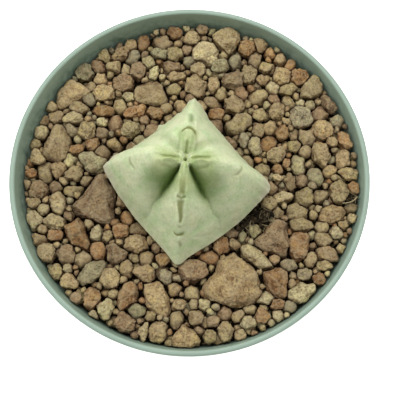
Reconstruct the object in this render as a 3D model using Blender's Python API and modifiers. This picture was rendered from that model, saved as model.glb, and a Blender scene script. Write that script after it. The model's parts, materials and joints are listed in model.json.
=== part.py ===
"""Potted Whitesloanea: a four-cornered succulent planted in a round plastic pot, dressed with gravel.

The pot stands on z = 0 with its axis on the world's Z axis; +X is the right and +Y the back of the pot.
Lengths in the tables are millimetres and are turned into metres where a mesh is made.
"""
import math
import random

import bpy
import bmesh
import numpy as np
from mathutils import Matrix, Vector

MM = 0.001
GAP = 0.3                       # clearance between neighbouring pieces

# Pot, millimetres
RIM_Z = 82.0                    # height of the pot
RIM_R = 55.0                    # outer radius of the lip
MOUTH_R = 53.3                  # inner radius at the lip
WALL = 1.6
BAND_HEIGHT = 8.5               # upright band under the lip
BAND_STEP = 1.0                 # how far the band stands out from the wall
WALL_TAPER = math.tan(math.radians(11.0))
FLOOR_Z = 4.6                   # top of the floor
FLOOR_THICKNESS = 1.8
FOOT_WIDTH = 2.6
NOTCH_WIDTH = 9.0               # drain notches through the foot ring
NOTCH_HEIGHT = 1.6
SLOT_COUNT = 8                  # drain slots in the floor
SLOT_LENGTH = 13.0
SLOT_WIDTH = 3.0
SLOT_R = 22.0                   # distance of a slot's middle from the axis
POT_STEPS = 64

# Potting soil and the body of the gravel
GRAVEL_BOTTOM_Z = 64.0
GRAVEL_DEPTH_BELOW_RIM = 4.0    # at the pot's axis
GRAVEL_SLOPE_X = 0.026          # the gravel lies higher to the right
GRAVEL_SLOPE_Y = -0.020         # and to the front
SMALL_STONE_DROP = 0.9          # how far the small joined stones lie below the gravel level
SMALL_STONE_RELIEF = 2.0        # and the gaps between them below their tops
SMALL_STONE_JITTER = 0.8
BED_CELLS = 34                  # grid cells across the bed: a small stone on every second corner

# Plant: its axis, and heights above the level that the gravel has at the pot's axis
PLANT_X, PLANT_Y = -0.93, -1.3
PLANT_STEPS = 72
# Each lobe: direction of its corner, corner radius, height of the corner, sideways bow of its ridge
LOBES = ((-6.9, 25.2, 4.0, 6.0), (84.7, 25.4, 4.2, -4.0), (173.1, 25.2, 4.0, 6.0), (264.7, 26.4, 2.2, -2.0))
FRONT_LOBE = 3
CORNER_ROUNDING = 0.06
# Share of the even four-cornered outline in each direction: hollow sides at the back, full ones in front
OUTLINE_SHARES = ((-10, 1.03), (2, 1.0), (11, 0.935), (33, 0.913), (70, 0.918), (77, 0.97), (85, 1.006),
                  (95, 0.93), (118, 0.93), (153, 0.945), (163, 1.02), (176, 1.008), (195, 1.038),
                  (211, 1.035), (255, 0.99), (264, 1.016), (271, 0.985), (293, 1.045), (320, 1.083))
# Fraction of the way out from the axis, height: along a ridge, and along the front lobe's lower one
RIDGE = ((0, 20.0), (0.04, 20.6), (0.1, 24.0), (0.2, 25.4), (0.32, 26.0), (0.48, 23.6), (0.635, 19.0),
         (0.79, 13.6), (0.91, 8.6), (1, 4.0))
FRONT_RIDGE = ((0, 20.0), (0.04, 22.4), (0.1, 23.2), (0.2, 22.6), (0.32, 20.8), (0.48, 17.6), (0.635, 13.8),
               (0.79, 9.4), (0.91, 6.4), (1, 4.0))
# The same along the two deep creases in front and the two shallow ones at the back
CREASE = ((0, 20.0), (0.1, 18.8), (0.2, 17.2), (0.4, 14.8), (0.6, 13.0), (0.8, 9.0), (1, 3.2))
BACK_CREASE = ((0, 20.0), (0.1, 21.4), (0.2, 22.8), (0.4, 23.2), (0.6, 19.3), (0.8, 12.7), (1, 3.6))
# Each crease, from the right at the back round: direction, shape of the lobe's side before and after it
# (below 1 the side bulges, above 1 it is hollow), and whether it is one of the deep ones
CREASES = ((38.9, 1.15, 1.15, False), (128.9, 1.15, 1.15, False), (226.0, 0.65, 1.0, True),
           (305.0, 1.0, 0.65, True))
# Underside down to the root: share of the square outline, radius of the round part, height below
FLANK = ((0.985, 0, -1.3), (0.93, 0, -3.0), (0.78, 1.2, -5.0), (0.5, 4.0, -6.6), (0.2, 6.8, -7.6))
NECK = ((8.4, 70.8), (7.6, 68.0), (6.0, 63.0), (3.6, 56.5), (1.6, 52.0))
ROOT_TIP_Z = 50.5

# The largest gravel stones: tone, corners of the outline seen from above
OUTLINED_STONES = (
    ("tan", (4, -34.5), (5, -37.5), (14, -41), (19.5, -39), (22, -35.5), (22, -33.5), (19.5, -28.5),
     (13.5, -24), (9, -27), (6.5, -30.5)),
    ("brown", (-36.5, -9.5), (-35, -12), (-28.5, -14.5), (-25, -14.5), (-23, -13), (-22.5, -7.5), (-23, -4.5),
     (-27, 1), (-29, 1), (-31, -1)),
    ("brown", (19.5, -20), (20, -21.5), (22, -23), (27.5, -25), (29.5, -25), (30, -14.5), (27.5, -14),
     (25, -14.5)),
    ("tan", (-43.5, 27), (-42.5, 24), (-40.5, 23.5), (-38, 24.5), (-33, 28), (-32, 29), (-35.5, 32.5),
     (-39, 33), (-42, 31.5)),
    ("tan", (-18, 27), (-16.5, 25), (-10, 24), (-7.5, 24.5), (-7, 26), (-8.5, 31), (-10.5, 32.5),
     (-16.5, 32), (-18, 29.5)),
    ("tan", (-46.5, 8), (-45, 6), (-42.5, 5), (-39.5, 7), (-38, 10), (-37.5, 13), (-40.5, 17.5),
     (-42.5, 17.5), (-44.5, 14.5)),
    ("tan", (7, 48.5), (8, 46), (12.5, 41), (14.5, 42.5), (16.5, 47.5), (15.5, 50.5), (13.5, 51.5),
     (10.5, 50.5)),
    ("pale", (0.5, 43), (1, 40.5), (6, 38), (8.5, 39), (9.5, 42), (8, 45), (5.5, 46.5), (2, 45)),
    ("tan", (35, 26.5), (38.5, 26), (41.5, 27.5), (43, 32), (40.5, 34.5), (38, 33), (35.5, 29.5)),
    ("tan", (-14, -33), (-12.5, -40), (-10, -42), (-7.5, -43), (-5.5, -42), (-6, -38), (-9, -32.5)),
    ("orange", (-21.5, -40), (-20.5, -41.5), (-15.5, -38.5), (-15, -36), (-15.5, -34), (-17.5, -32.5),
     (-19.5, -33), (-21.5, -37)),
    ("orange", (22, -30), (22.5, -33.5), (25.5, -37.5), (28, -38), (29.5, -37), (30, -31.5), (29, -29.5),
     (26.5, -28.5)),
    ("orange", (30.5, -19), (30, -23.5), (32, -26.5), (34.5, -26), (36, -23.5), (36.5, -20), (35.5, -17.5),
     (31.5, -17.5)),
    ("orange", (-38.5, -15.5), (-36, -21), (-31, -23), (-30, -21), (-32.5, -15), (-34.5, -12)),
    ("pale", (15.5, -22.5), (16.5, -25.5), (20, -28), (22.5, -29), (25, -28), (25, -25), (20, -22.5),
     (18.5, -21)),
)
# The others that show: x, y, length, width, turn of the long side, taper towards its end, tone
STONES = (
    (-34.5, 36.0, 7.0, 6.0, -20, 0.0, "grey"), (-30.5, 5.0, 9.5, 6.0, -35, 0.2, "grey"),
    (-17.5, 22.0, 7.5, 4.0, 15, 0.0, "orange"), (-11.0, 21.5, 5.5, 4.0, -35, 0.0, "orange"),
    (14.0, 32.5, 8.0, 6.0, 10, 0.2, "brown"), (2.0, 30.5, 7.5, 7.0, 90, 0.0, "tan"),
    (35.0, 33.5, 6.5, 6.0, 45, 0.0, "orange"), (44.0, 24.0, 7.0, 3.5, -55, 0.0, "brown"),
    (35.0, 20.0, 8.0, 7.0, -65, 0.2, "grey"), (41.5, 15.5, 7.0, 6.5, -45, 0.2, "tan"),
    (41.0, 7.0, 8.0, 6.0, -80, 0.0, "tan"), (15.5, 17.5, 9.5, 6.0, 30, 0.0, "tan"),
    (48.5, 11.5, 7.0, 4.0, -55, 0.0, "orange"), (-22.0, -24.0, 6.5, 6.5, 85, 0.2, "brown"),
    (-29.0, -37.5, 7.0, 5.0, 90, 0.0, "orange"), (-19.0, -45.0, 6.5, 5.5, -20, -0.2, "brown"),
    (-0.5, -49.5, 8.5, 6.5, -15, -0.3, "tan"), (1.0, -29.0, 9.0, 7.5, 10, 0.0, "brown"),
    (-24.0, -31.5, 6.5, 6.5, 90, 0.0, "tan"), (33.5, -36.0, 8.0, 6.0, 20, -0.2, "pale"),
    (43.5, -12.0, 8.5, 5.5, 15, 0.0, "tan"), (46.0, -5.0, 7.5, 6.0, 85, 0.2, "tan"),
    (-27.5, 28.5, 7.5, 5.5, 10, 0.0, "tan"), (-21.5, 32.0, 6.5, 6.5, 0, 0.0, "brown"),
    (-18.8, 16.0, 6.0, 5.5, 0, 0.0, "pale"), (-32.5, 15.5, 6.5, 5.5, 80, 0.0, "tan"),
    (-17.0, 36.0, 6.0, 5.5, 60, 0.0, "brown"), (-22.5, 42.0, 6.0, 4.5, 25, 0.0, "brown"),
    (19.0, 34.5, 6.5, 5.0, 80, 0.0, "tan"), (18.5, 43.5, 5.8, 5.5, 0, 0.0, "orange"),
    (29.5, 33.5, 6.0, 5.5, 0, 0.0, "tan"), (14.0, 24.0, 7.0, 5.5, -15, 0.0, "tan"),
    (27.0, 7.0, 6.5, 5.0, 20, 0.0, "tan"), (27.5, 21.5, 6.0, 5.0, 70, 0.0, "tan"),
    (-16.5, -21.0, 7.0, 6.0, 10, 0.0, "tan"), (-29.5, -29.5, 10.0, 5.6, 35, 0.0, "grey"),
    (-41.5, -14.0, 7.0, 5.0, -10, 0.0, "pale"), (-47.0, -3.5, 6.5, 6.0, 0, 0.0, "brown"),
    (-43.5, -23.5, 6.2, 6.0, 0, 0.0, "tan"),
)
STONE_CORNERS = (6, 7, 8)
STONE_FULLNESS = 2.6            # 2 gives an oval outline, more a squarer one
STONE_FLATNESS = 0.72           # height of a stone against its width
STONE_RISE = 0.1                # highest point of a stone above the gravel level
STONE_RISE_SHARE = 0.09         # and more by this share of its width
STONE_SHOULDER = (0.08, 0.2)    # how far its top is drawn in, as a share of its width
STONE_UNDERCUT = 0.16           # the same for its foot
STONE_TOP_FACETS = 3
SEED = 7

# Linear colour and roughness of each finish
COLOURS = {
    "pot": ((0.37, 0.46, 0.37), 0.45),
    "soil": ((0.045, 0.032, 0.018), 0.95),
    "plant": ((0.42, 0.52, 0.26), 0.55),
    "bed": ((0.25, 0.18, 0.10), 0.9),
    "tan": ((0.33, 0.24, 0.14), 0.9),
    "brown": ((0.27, 0.19, 0.12), 0.9),
    "orange": ((0.36, 0.20, 0.10), 0.9),
    "grey": ((0.27, 0.25, 0.18), 0.9),
    "pale": ((0.47, 0.40, 0.26), 0.9),
}


def clear_scene():
    for obj in list(bpy.data.objects):
        bpy.data.objects.remove(obj, do_unlink=True)


def new_collection(name):
    collection = bpy.data.collections.new(name)
    bpy.context.scene.collection.children.link(collection)
    return collection


def new_material(name):
    colour, roughness = COLOURS[name]
    material = bpy.data.materials.new("whitesloanea_" + name)
    material.use_nodes = True
    shader = material.node_tree.nodes["Principled BSDF"]
    shader.inputs["Base Color"].default_value = (*colour, 1.0)
    shader.inputs["Roughness"].default_value = roughness
    shader.inputs["Metallic"].default_value = 0.0
    return material


def new_object(name, bm, collection, material=None):
    """Turn a bmesh in millimetres into an object in metres."""
    bmesh.ops.scale(bm, vec=Vector((MM, MM, MM)), verts=bm.verts)
    mesh = bpy.data.meshes.new(name)
    bm.to_mesh(mesh)
    bm.free()
    obj = bpy.data.objects.new(name, mesh)
    collection.objects.link(obj)
    if material:
        mesh.materials.append(material)
    return obj


def mark_cutter(obj):
    obj.hide_render = True
    obj.display_type = "WIRE"


def profile_object(name, points, collection, material=None, centre=(0.0, 0.0)):
    """A solid of revolution: inner side up, outer side down, both ends on the axis."""
    mesh = bpy.data.meshes.new(name)
    edges = [(i, i + 1) for i in range(len(points) - 1)]
    mesh.from_pydata([(r * MM, 0.0, z * MM) for r, z in points], edges, [])
    obj = bpy.data.objects.new(name, mesh)
    collection.objects.link(obj)
    obj.location = (centre[0] * MM, centre[1] * MM, 0.0)
    screw = obj.modifiers.new("turn", "SCREW")
    screw.steps = POT_STEPS
    screw.render_steps = POT_STEPS
    screw.use_merge_vertices = True
    screw.merge_threshold = 0.00001
    screw.use_smooth_shade = False
    if material:
        mesh.materials.append(material)
    return obj


def cut(obj, cutters):
    boolean = obj.modifiers.new("cut", "BOOLEAN")
    boolean.operation = "DIFFERENCE"
    boolean.solver = "EXACT"
    boolean.operand_type = "COLLECTION"
    boolean.collection = cutters


# ---------------------------------------------------------------- pot and soil

def inner_radius(z):
    """Inner radius of the pot's tapered wall at a height."""
    return MOUTH_R - (RIM_Z - z) * WALL_TAPER


def make_pot(collection, cutters, material):
    foot_r = inner_radius(FLOOR_Z) + WALL
    band_z = RIM_Z - BAND_HEIGHT
    wall_under_band = inner_radius(band_z) + WALL
    under_z = FLOOR_Z - FLOOR_THICKNESS
    profile = [
        (0.0, FLOOR_Z), (inner_radius(FLOOR_Z), FLOOR_Z), (inner_radius(band_z), band_z),
        (MOUTH_R - 0.12, RIM_Z - 1.0), (MOUTH_R + 0.35, RIM_Z - 0.2), (RIM_R - 0.85, RIM_Z),
        (RIM_R - 0.2, RIM_Z - 0.35), (RIM_R, RIM_Z - 1.1), (wall_under_band + BAND_STEP, band_z),
        (wall_under_band, band_z - 0.5), (foot_r, FLOOR_Z), (foot_r - 0.6, 0.0),
        (foot_r - 0.6 - FOOT_WIDTH, 0.0), (foot_r - 0.4 - FOOT_WIDTH, under_z), (0.0, under_z),
    ]
    pot = profile_object("pot", profile, collection, material)
    for quarter in range(2):
        bm = bmesh.new()
        bmesh.ops.create_cube(bm, size=1.0)
        bmesh.ops.scale(bm, vec=(2.4 * foot_r, NOTCH_WIDTH, 2.0 * NOTCH_HEIGHT), verts=bm.verts)
        turn = Matrix.Rotation(math.radians(45 + 90 * quarter), 3, "Z")
        bmesh.ops.rotate(bm, cent=(0, 0, 0), matrix=turn, verts=bm.verts)
        mark_cutter(new_object("foot_notch_%d" % (quarter + 1), bm, cutters))
    for index in range(SLOT_COUNT):
        bm = bmesh.new()
        bmesh.ops.create_cube(bm, size=1.0)
        bmesh.ops.scale(bm, vec=(SLOT_LENGTH, SLOT_WIDTH, 6.0), verts=bm.verts)
        bmesh.ops.translate(bm, vec=(SLOT_R, 0.0, FLOOR_Z - 0.5 * FLOOR_THICKNESS), verts=bm.verts)
        turn = Matrix.Rotation(math.tau * (index + 0.5) / SLOT_COUNT, 3, "Z")
        bmesh.ops.rotate(bm, cent=(0, 0, 0), matrix=turn, verts=bm.verts)
        mark_cutter(new_object("drain_slot_%d" % (index + 1), bm, cutters))
    cut(pot, cutters)
    return pot


def make_soil(collection, cutters, material):
    bottom = FLOOR_Z + GAP
    top = GRAVEL_BOTTOM_Z - GAP
    top_r = inner_radius(top) - GAP
    bottom_r = inner_radius(bottom) - GAP
    profile = [(0.0, top), (top_r, top), (bottom_r, bottom), (0.0, bottom)]
    soil = profile_object("potting_soil", profile, collection, material)
    cut(soil, cutters)
    return soil


# ---------------------------------------------------------------- plant

def smooth_curve(points, x):
    """Value at x of a smooth curve through a few points, flat-sided where they turn."""
    xs = [p[0] for p in points]
    ys = [p[1] for p in points]
    slopes = [(ys[i + 1] - ys[i]) / (xs[i + 1] - xs[i]) for i in range(len(xs) - 1)]
    tangents = [slopes[0]]
    for a, b in zip(slopes, slopes[1:]):
        tangents.append(0.0 if a * b <= 0 else 2 * a * b / (a + b))
    tangents.append(slopes[-1])
    i = min(max(0, sum(1 for v in xs[1:] if v < x)), len(slopes) - 1)
    width = xs[i + 1] - xs[i]
    t = (x - xs[i]) / width
    return ((1 + 2 * t) * (1 - t) ** 2 * ys[i] + t * (1 - t) ** 2 * width * tangents[i]
            + t * t * (3 - 2 * t) * ys[i + 1] + t * t * (t - 1) * width * tangents[i + 1])


def angle_between(a, b):
    """Signed turn from a to b in degrees."""
    return (b - a + 180.0) % 360.0 - 180.0


def corner_blend(angle, column):
    """A lobe's value from the LOBES table, blended evenly between neighbouring corners."""
    total = 0.0
    weight = 0.0
    for lobe in LOBES:
        share = max(0.0, 1.0 - abs(angle_between(lobe[0], angle)) / 90.0)
        share = share * share * (3 - 2 * share)
        total += share * lobe[column]
        weight += share
    return total / weight


def outline_radius(angle):
    """Radius of the plant's four-cornered outline in a direction, in degrees."""
    off = min(abs(angle_between(lobe[0], angle)) for lobe in LOBES)
    c = math.cos(math.radians(off))
    s = math.sqrt(math.sin(math.radians(off)) ** 2 + CORNER_ROUNDING ** 2)
    first = OUTLINE_SHARES[0][0]
    shares = OUTLINE_SHARES + ((first + 360, OUTLINE_SHARES[0][1]),)
    share = smooth_curve(shares, (angle - first) % 360.0 + first)
    return corner_blend(angle, 1) / (c + s) * (1.0 + CORNER_ROUNDING) * share


def lobe_rise(angle, inward):
    """0 in a crease and 1 on a ridge, and the lobe that a direction belongs to."""
    for index, lobe in enumerate(LOBES):
        ridge = lobe[0] + lobe[3] * inward
        before, after = CREASES[index - 1], CREASES[index]
        turn = angle_between(ridge, angle)
        if turn >= 0:
            share = 1.0 - turn / angle_between(ridge, after[0])
            ease = after[1]
        else:
            share = 1.0 + turn / angle_between(before[0], ridge)
            ease = before[2]
        if share >= 0:
            return math.sin(0.5 * math.pi * share) ** ease, index
    return 0.0, 0


def top_height(fraction, angle):
    """Height of the lobes: rounded ridges to the corners, sharp creases between them."""
    rise, lobe = lobe_rise(angle, 1.0 - fraction)
    ridge = smooth_curve(FRONT_RIDGE if lobe == FRONT_LOBE else RIDGE, fraction)
    nearest = min(CREASES, key=lambda crease: abs(angle_between(crease[0], angle)))
    crease = smooth_curve(CREASE if nearest[3] else BACK_CREASE, fraction)
    edge = corner_blend(angle, 2) - RIDGE[-1][1]
    return crease + (ridge - crease) * rise + edge * fraction ** 3


def plant_point(station, angle):
    """Point of the plant's skin: stations 0 to 1 run from apex to edge, beyond 1 down to the root."""
    level = RIM_Z - GRAVEL_DEPTH_BELOW_RIM
    outline = outline_radius(angle)
    if station <= 1.0:
        radius = station * outline
        z = level + top_height(station, angle)
    else:
        rows = [(1.0, 0.0, 0.0)] + list(FLANK)
        edge_z = level + top_height(1.0, angle)
        step = (station - 1.0) * 10.0
        index = int(round(step))
        if index < len(rows):
            share, round_r, drop = rows[index]
            radius = share * outline + round_r
            z = edge_z + drop
        else:
            neck = list(NECK) + [(0.0, ROOT_TIP_Z)]
            radius, z = neck[min(index - len(rows), len(neck) - 1)]
    a = math.radians(angle)
    return PLANT_X + radius * math.cos(a), PLANT_Y + radius * math.sin(a), z


def plant_stations():
    top = [0.0, 0.05, 0.1, 0.16, 0.23, 0.32, 0.41, 0.5, 0.59, 0.68, 0.77, 0.86, 0.94, 1.0]
    below = [1.0 + 0.1 * (i + 1) for i in range(len(FLANK) + len(NECK) + 1)]
    return top + below


def make_plant(collection, material):
    """The whole plant: a spun disc whose rings are moved onto the skin."""
    stations = plant_stations()
    bm = bmesh.new()
    line = [bm.verts.new((s, 0.0, 0.0)) for s in stations]
    edges = [bm.edges.new(pair) for pair in zip(line, line[1:])]
    bmesh.ops.spin(bm, geom=line + edges, cent=(0, 0, 0), axis=(0, 0, 1), angle=math.tau,
                   steps=PLANT_STEPS, use_merge=True)
    for vert in bm.verts:
        station = math.hypot(vert.co.x, vert.co.y)
        vert.co = Vector(plant_point(station, math.degrees(math.atan2(vert.co.y, vert.co.x))))
    bmesh.ops.remove_doubles(bm, verts=bm.verts, dist=0.001)
    bmesh.ops.recalc_face_normals(bm, faces=bm.faces)
    bmesh.ops.triangulate(bm, faces=bm.faces)
    samples = [tuple(v.co) for v in bm.verts]
    samples += [tuple((e.verts[0].co + e.verts[1].co) / 2) for e in bm.edges]
    samples += [tuple(f.calc_center_median()) for f in bm.faces]
    plant = new_object("whitesloanea_plant", bm, collection, material)
    return plant, np.array(samples)


def make_neck_cutter(cutters):
    """Room for the buried neck and root, a little wider than they are."""
    wide = [(r + GAP + 0.1, z) for r, z in NECK]
    profile = [(0.0, wide[0][1] + 12.0), (wide[0][0], wide[0][1] + 12.0)] + wide + [(0.0, ROOT_TIP_Z - GAP)]
    socket = profile_object("root_socket", profile, cutters, centre=(PLANT_X, PLANT_Y))
    mark_cutter(socket)


# ---------------------------------------------------------------- gravel

def gravel_level(x, y):
    return RIM_Z - GRAVEL_DEPTH_BELOW_RIM + GRAVEL_SLOPE_X * x + GRAVEL_SLOPE_Y * y


def cut_block(planes, centre, reach):
    """A cube cut down by planes, each a normal and its distance from the origin."""
    bm = bmesh.new()
    bmesh.ops.create_cube(bm, size=2.0 * reach)
    bmesh.ops.translate(bm, vec=centre, verts=bm.verts)
    for normal, distance in planes:
        normal = Vector(normal)
        geometry = bm.verts[:] + bm.edges[:] + bm.faces[:]
        bmesh.ops.bisect_plane(bm, geom=geometry, dist=0.0001, plane_co=normal * distance,
                               plane_no=normal, clear_outer=True)
        rim = [e for e in bm.edges if e.is_boundary]
        if rim:
            bmesh.ops.holes_fill(bm, edges=rim, sides=0)
    bmesh.ops.remove_doubles(bm, verts=bm.verts, dist=0.04)
    bmesh.ops.dissolve_degenerate(bm, edges=bm.edges, dist=0.02)
    bmesh.ops.recalc_face_normals(bm, faces=bm.faces)
    return bm


class Stone:
    """A chipped stone kept as a list of planes, so that neighbours can be kept apart."""

    def __init__(self, tone, centre, reach, planes):
        self.tone = tone
        self.centre = centre
        self.reach = reach
        self.planes = planes

    def block(self, margin=0.0):
        planes = [(n, d + margin) for n, d in self.planes]
        return cut_block(planes, self.centre, self.reach + 2.0)

    def corners(self):
        bm = self.block()
        result = np.array([tuple(v.co) for v in bm.verts])
        bm.free()
        return result

    def keep_behind(self, point, direction):
        normal = direction.normalized()
        self.planes.append((normal, normal.dot(point)))


def worn_outline(x, y, length, width, turn, taper, rng):
    """Corners of a stone seen from above: an uneven ring that has the stone's length and width."""
    count = rng.choice(STONE_CORNERS)
    start = rng.uniform(0.0, math.tau)
    full = STONE_FULLNESS
    ring = []
    for index in range(count):
        a = start + math.tau * (index + rng.uniform(-0.25, 0.25)) / count
        reach = (abs(math.cos(a)) ** full + abs(math.sin(a)) ** full) ** (-1 / full)
        ring.append((reach * math.cos(a), reach * math.sin(a)))
    low = [min(corner[i] for corner in ring) for i in (0, 1)]
    high = [max(corner[i] for corner in ring) for i in (0, 1)]
    turned = Matrix.Rotation(math.radians(turn), 3, "Z")
    outline = []
    for corner in ring:
        u, v = [2 * (corner[i] - low[i]) / (high[i] - low[i]) - 1 for i in (0, 1)]
        v *= 1 + taper * u
        outline.append(turned @ Vector((u * length / 2, v * width / 2, 0.0)) + Vector((x, y, 0.0)))
    return outline


def outlined_stone(tone, outline, rng):
    """A stone with a given outline from above, whose sides lean in to a top of a few flat facets."""
    middle = sum(outline, Vector((0, 0, 0))) / len(outline)
    width = 2.0 * sum((corner - middle).length for corner in outline) / len(outline)
    height = STONE_FLATNESS * width * rng.uniform(0.9, 1.1)
    top = gravel_level(middle.x, middle.y) + STONE_RISE + rng.uniform(-0.3, 0.3) + STONE_RISE_SHARE * width
    up = Vector((0, 0, 1))
    roof = middle + up * top
    stone = Stone(tone, roof - up * height / 2, 0.65 * width + 1.0, [])
    for a, b in zip(outline, outline[1:] + outline[:1]):
        out = Vector((b.y - a.y, a.x - b.x, 0.0)).normalized()
        side = out + up * rng.uniform(-0.12, 0.12)
        stone.keep_behind(a + up * (top - 0.4 * height), side)
        shoulder = out + up * rng.uniform(0.7, 1.6)
        stone.keep_behind(a + up * top - out * rng.uniform(*STONE_SHOULDER) * width, shoulder)
        under = out - up * rng.uniform(0.6, 1.2)
        stone.keep_behind(a + up * (top - height) - out * STONE_UNDERCUT * width, under)
    stone.keep_behind(roof - up * height, -up)
    stone.keep_behind(roof, Vector((rng.uniform(-0.1, 0.1), rng.uniform(-0.1, 0.1), 1)))
    for index in range(STONE_TOP_FACETS):
        turn = math.tau * (index + rng.uniform(0.2, 0.8)) / STONE_TOP_FACETS
        out = Vector((math.cos(turn), math.sin(turn), 0.0))
        stone.keep_behind(roof + out * rng.uniform(0.05, 0.22) * width, up + out * rng.uniform(0.15, 0.45))
    return stone


def separate_stones(stones):
    """Cut two touching stones back along the direction in which they overlap least."""
    corners = [stone.corners() for stone in stones]
    for i, a in enumerate(stones):
        for j in range(i + 1, len(stones)):
            b = stones[j]
            line = b.centre - a.centre
            if line.length > a.reach + b.reach + 2.0:
                continue
            ways = [line.normalized()]
            ways += [n for n, d in a.planes if n.dot(line) > 0 and abs(n.z) < 0.5]
            ways += [-n for n, d in b.planes if n.dot(line) < 0 and abs(n.z) < 0.5]
            room = [(corners[j] @ np.array(w)).min() - (corners[i] @ np.array(w)).max() for w in ways]
            best = int(np.argmax(room))
            if room[best] >= GAP:
                continue
            way = ways[best]
            meeting = (corners[i] @ np.array(way)).max() + room[best] / 2
            a.planes.append((way.copy(), meeting - GAP / 2 - 0.01))
            b.planes.append((-way, -meeting - GAP / 2 - 0.01))


def fit_in_pot(stone):
    """Keep a stone inside the pot's wall, which is a cone of flat facets."""
    facing = math.atan2(stone.centre.y, stone.centre.x)
    pitch = math.tau / POT_STEPS
    nearest = int(facing / pitch) + 0.5
    for step in range(-4, 5):
        a = (nearest + step) * pitch
        normal = Vector((math.cos(a), math.sin(a), -WALL_TAPER))
        wall = Vector((inner_radius(RIM_Z) * math.cos(a), inner_radius(RIM_Z) * math.sin(a), RIM_Z))
        length = normal.length
        stone.keep_behind(wall - normal / length * (GAP + 0.1), normal / length)


def keep_off_plant(stone, samples):
    """Cut a stone back wherever the plant's skin would reach into it."""
    centre = np.array(stone.centre)
    near = samples[np.linalg.norm(samples - centre, axis=1) < stone.reach + 3.0]
    for _ in range(40):
        if not len(near):
            return
        normals = np.array([tuple(n) for n, d in stone.planes])
        distances = np.array([d for n, d in stone.planes])
        outside = (near @ normals.T - distances).max(axis=1)
        deepest = int(outside.argmin())
        if outside[deepest] >= GAP + 0.05:
            return
        point = Vector(near[deepest])
        away = (point - stone.centre).normalized()
        stone.keep_behind(point - away * (GAP + 0.1), away)


def make_gravel_bed(collection, material, stones, samples, rng):
    """The small stones joined in one bumpy body, with a seat for each large stone."""
    skin = samples[samples[:, 2] > NECK[0][1] - 0.1]
    top_r = inner_radius(RIM_Z - 5.0)
    cell = 2 * top_r / BED_CELLS
    bm = bmesh.new()
    bmesh.ops.create_grid(bm, x_segments=BED_CELLS, y_segments=BED_CELLS, size=top_r)
    tops = {v for v in bm.verts if round((v.co.x + v.co.y) / cell) % 2 == 0}
    beyond = [f for f in bm.faces if f.calc_center_median().length > top_r - 0.4 * cell]
    bmesh.ops.delete(bm, geom=beyond, context="FACES")
    for face in list(bm.faces):
        low_corners = [v for v in face.verts if v not in tops]
        bmesh.utils.face_split(face, *low_corners)
    for vert in bm.verts:
        x, y = vert.co.x, vert.co.y
        z = gravel_level(x, y) - SMALL_STONE_DROP + rng.uniform(-0.7, 0.3)
        if vert not in tops:
            z -= SMALL_STONE_RELIEF
        close = np.hypot(skin[:, 0] - x, skin[:, 1] - y) < 1.5 * cell
        if close.any():
            z = min(z, skin[close, 2].min() - GAP)
        if vert.is_boundary:
            stretch = (inner_radius(z) - GAP - 0.05) / math.hypot(x, y)
            vert.co = Vector((x * stretch, y * stretch, z))
        else:
            x += rng.uniform(-SMALL_STONE_JITTER, SMALL_STONE_JITTER)
            y += rng.uniform(-SMALL_STONE_JITTER, SMALL_STONE_JITTER)
            vert.co = Vector((x, y, z))
    top_edge = [e for e in bm.edges if e.is_boundary]
    wall = bmesh.ops.extrude_edge_only(bm, edges=top_edge)["geom"]
    bottom_r = inner_radius(GRAVEL_BOTTOM_Z) - GAP - 0.05
    for vert in [g for g in wall if isinstance(g, bmesh.types.BMVert)]:
        direction = Vector((vert.co.x, vert.co.y)).normalized() * bottom_r
        vert.co = Vector((direction.x, direction.y, GRAVEL_BOTTOM_Z))
    bmesh.ops.holes_fill(bm, edges=[e for e in bm.edges if e.is_boundary], sides=0)
    bmesh.ops.recalc_face_normals(bm, faces=bm.faces)
    bmesh.ops.triangulate(bm, faces=bm.faces)
    bed = new_object("gravel_bed", bm, collection, material)

    seats = new_collection("stone_seats")
    for index, stone in enumerate(stones):
        mark_cutter(new_object("stone_seat_%02d" % (index + 1), stone.block(GAP), seats))
    for seat in seats.objects:
        boolean = bed.modifiers.new("seat", "BOOLEAN")
        boolean.operation = "DIFFERENCE"
        boolean.solver = "EXACT"
        boolean.object = seat
    return bed


def keep_largest_piece(obj):
    """Apply the cuts and drop the crumbs that they leave loose."""
    bpy.context.view_layer.update()
    graph = bpy.context.evaluated_depsgraph_get()
    mesh = bpy.data.meshes.new_from_object(obj.evaluated_get(graph))
    bm = bmesh.new()
    bm.from_mesh(mesh)
    seen = set()
    pieces = []
    for start in bm.verts:
        if start in seen:
            continue
        piece = [start]
        seen.add(start)
        for vert in piece:
            for edge in vert.link_edges:
                other = edge.other_vert(vert)
                if other not in seen:
                    seen.add(other)
                    piece.append(other)
        pieces.append(piece)
    pieces.sort(key=len)
    for piece in pieces[:-1]:
        bmesh.ops.delete(bm, geom=piece, context="VERTS")
    bm.to_mesh(mesh)
    bm.free()
    obj.modifiers.clear()
    obj.data = mesh


def main():
    clear_scene()
    parts = new_collection("potted_whitesloanea")
    drain_cutters = new_collection("drain_cutters")
    root_cutters = new_collection("root_cutters")
    materials = {name: new_material(name) for name in COLOURS}
    rng = random.Random(SEED)

    make_pot(parts, drain_cutters, materials["pot"])
    make_neck_cutter(root_cutters)
    make_soil(parts, root_cutters, materials["soil"])
    plant, samples = make_plant(parts, materials["plant"])

    stones = []
    for tone, *corners in OUTLINED_STONES:
        stones.append(outlined_stone(tone, [Vector((x, y, 0.0)) for x, y in corners], rng))
    for *size, tone in STONES:
        stones.append(outlined_stone(tone, worn_outline(*size, rng), rng))
    separate_stones(stones)
    for stone in stones:
        fit_in_pot(stone)
        keep_off_plant(stone, samples)
    for index, stone in enumerate(stones):
        new_object("gravel_stone_%02d" % (index + 1), stone.block(), parts, materials[stone.tone])

    bed = make_gravel_bed(parts, materials["bed"], stones, samples, rng)
    cut(bed, root_cutters)
    keep_largest_piece(bed)


main()
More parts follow.
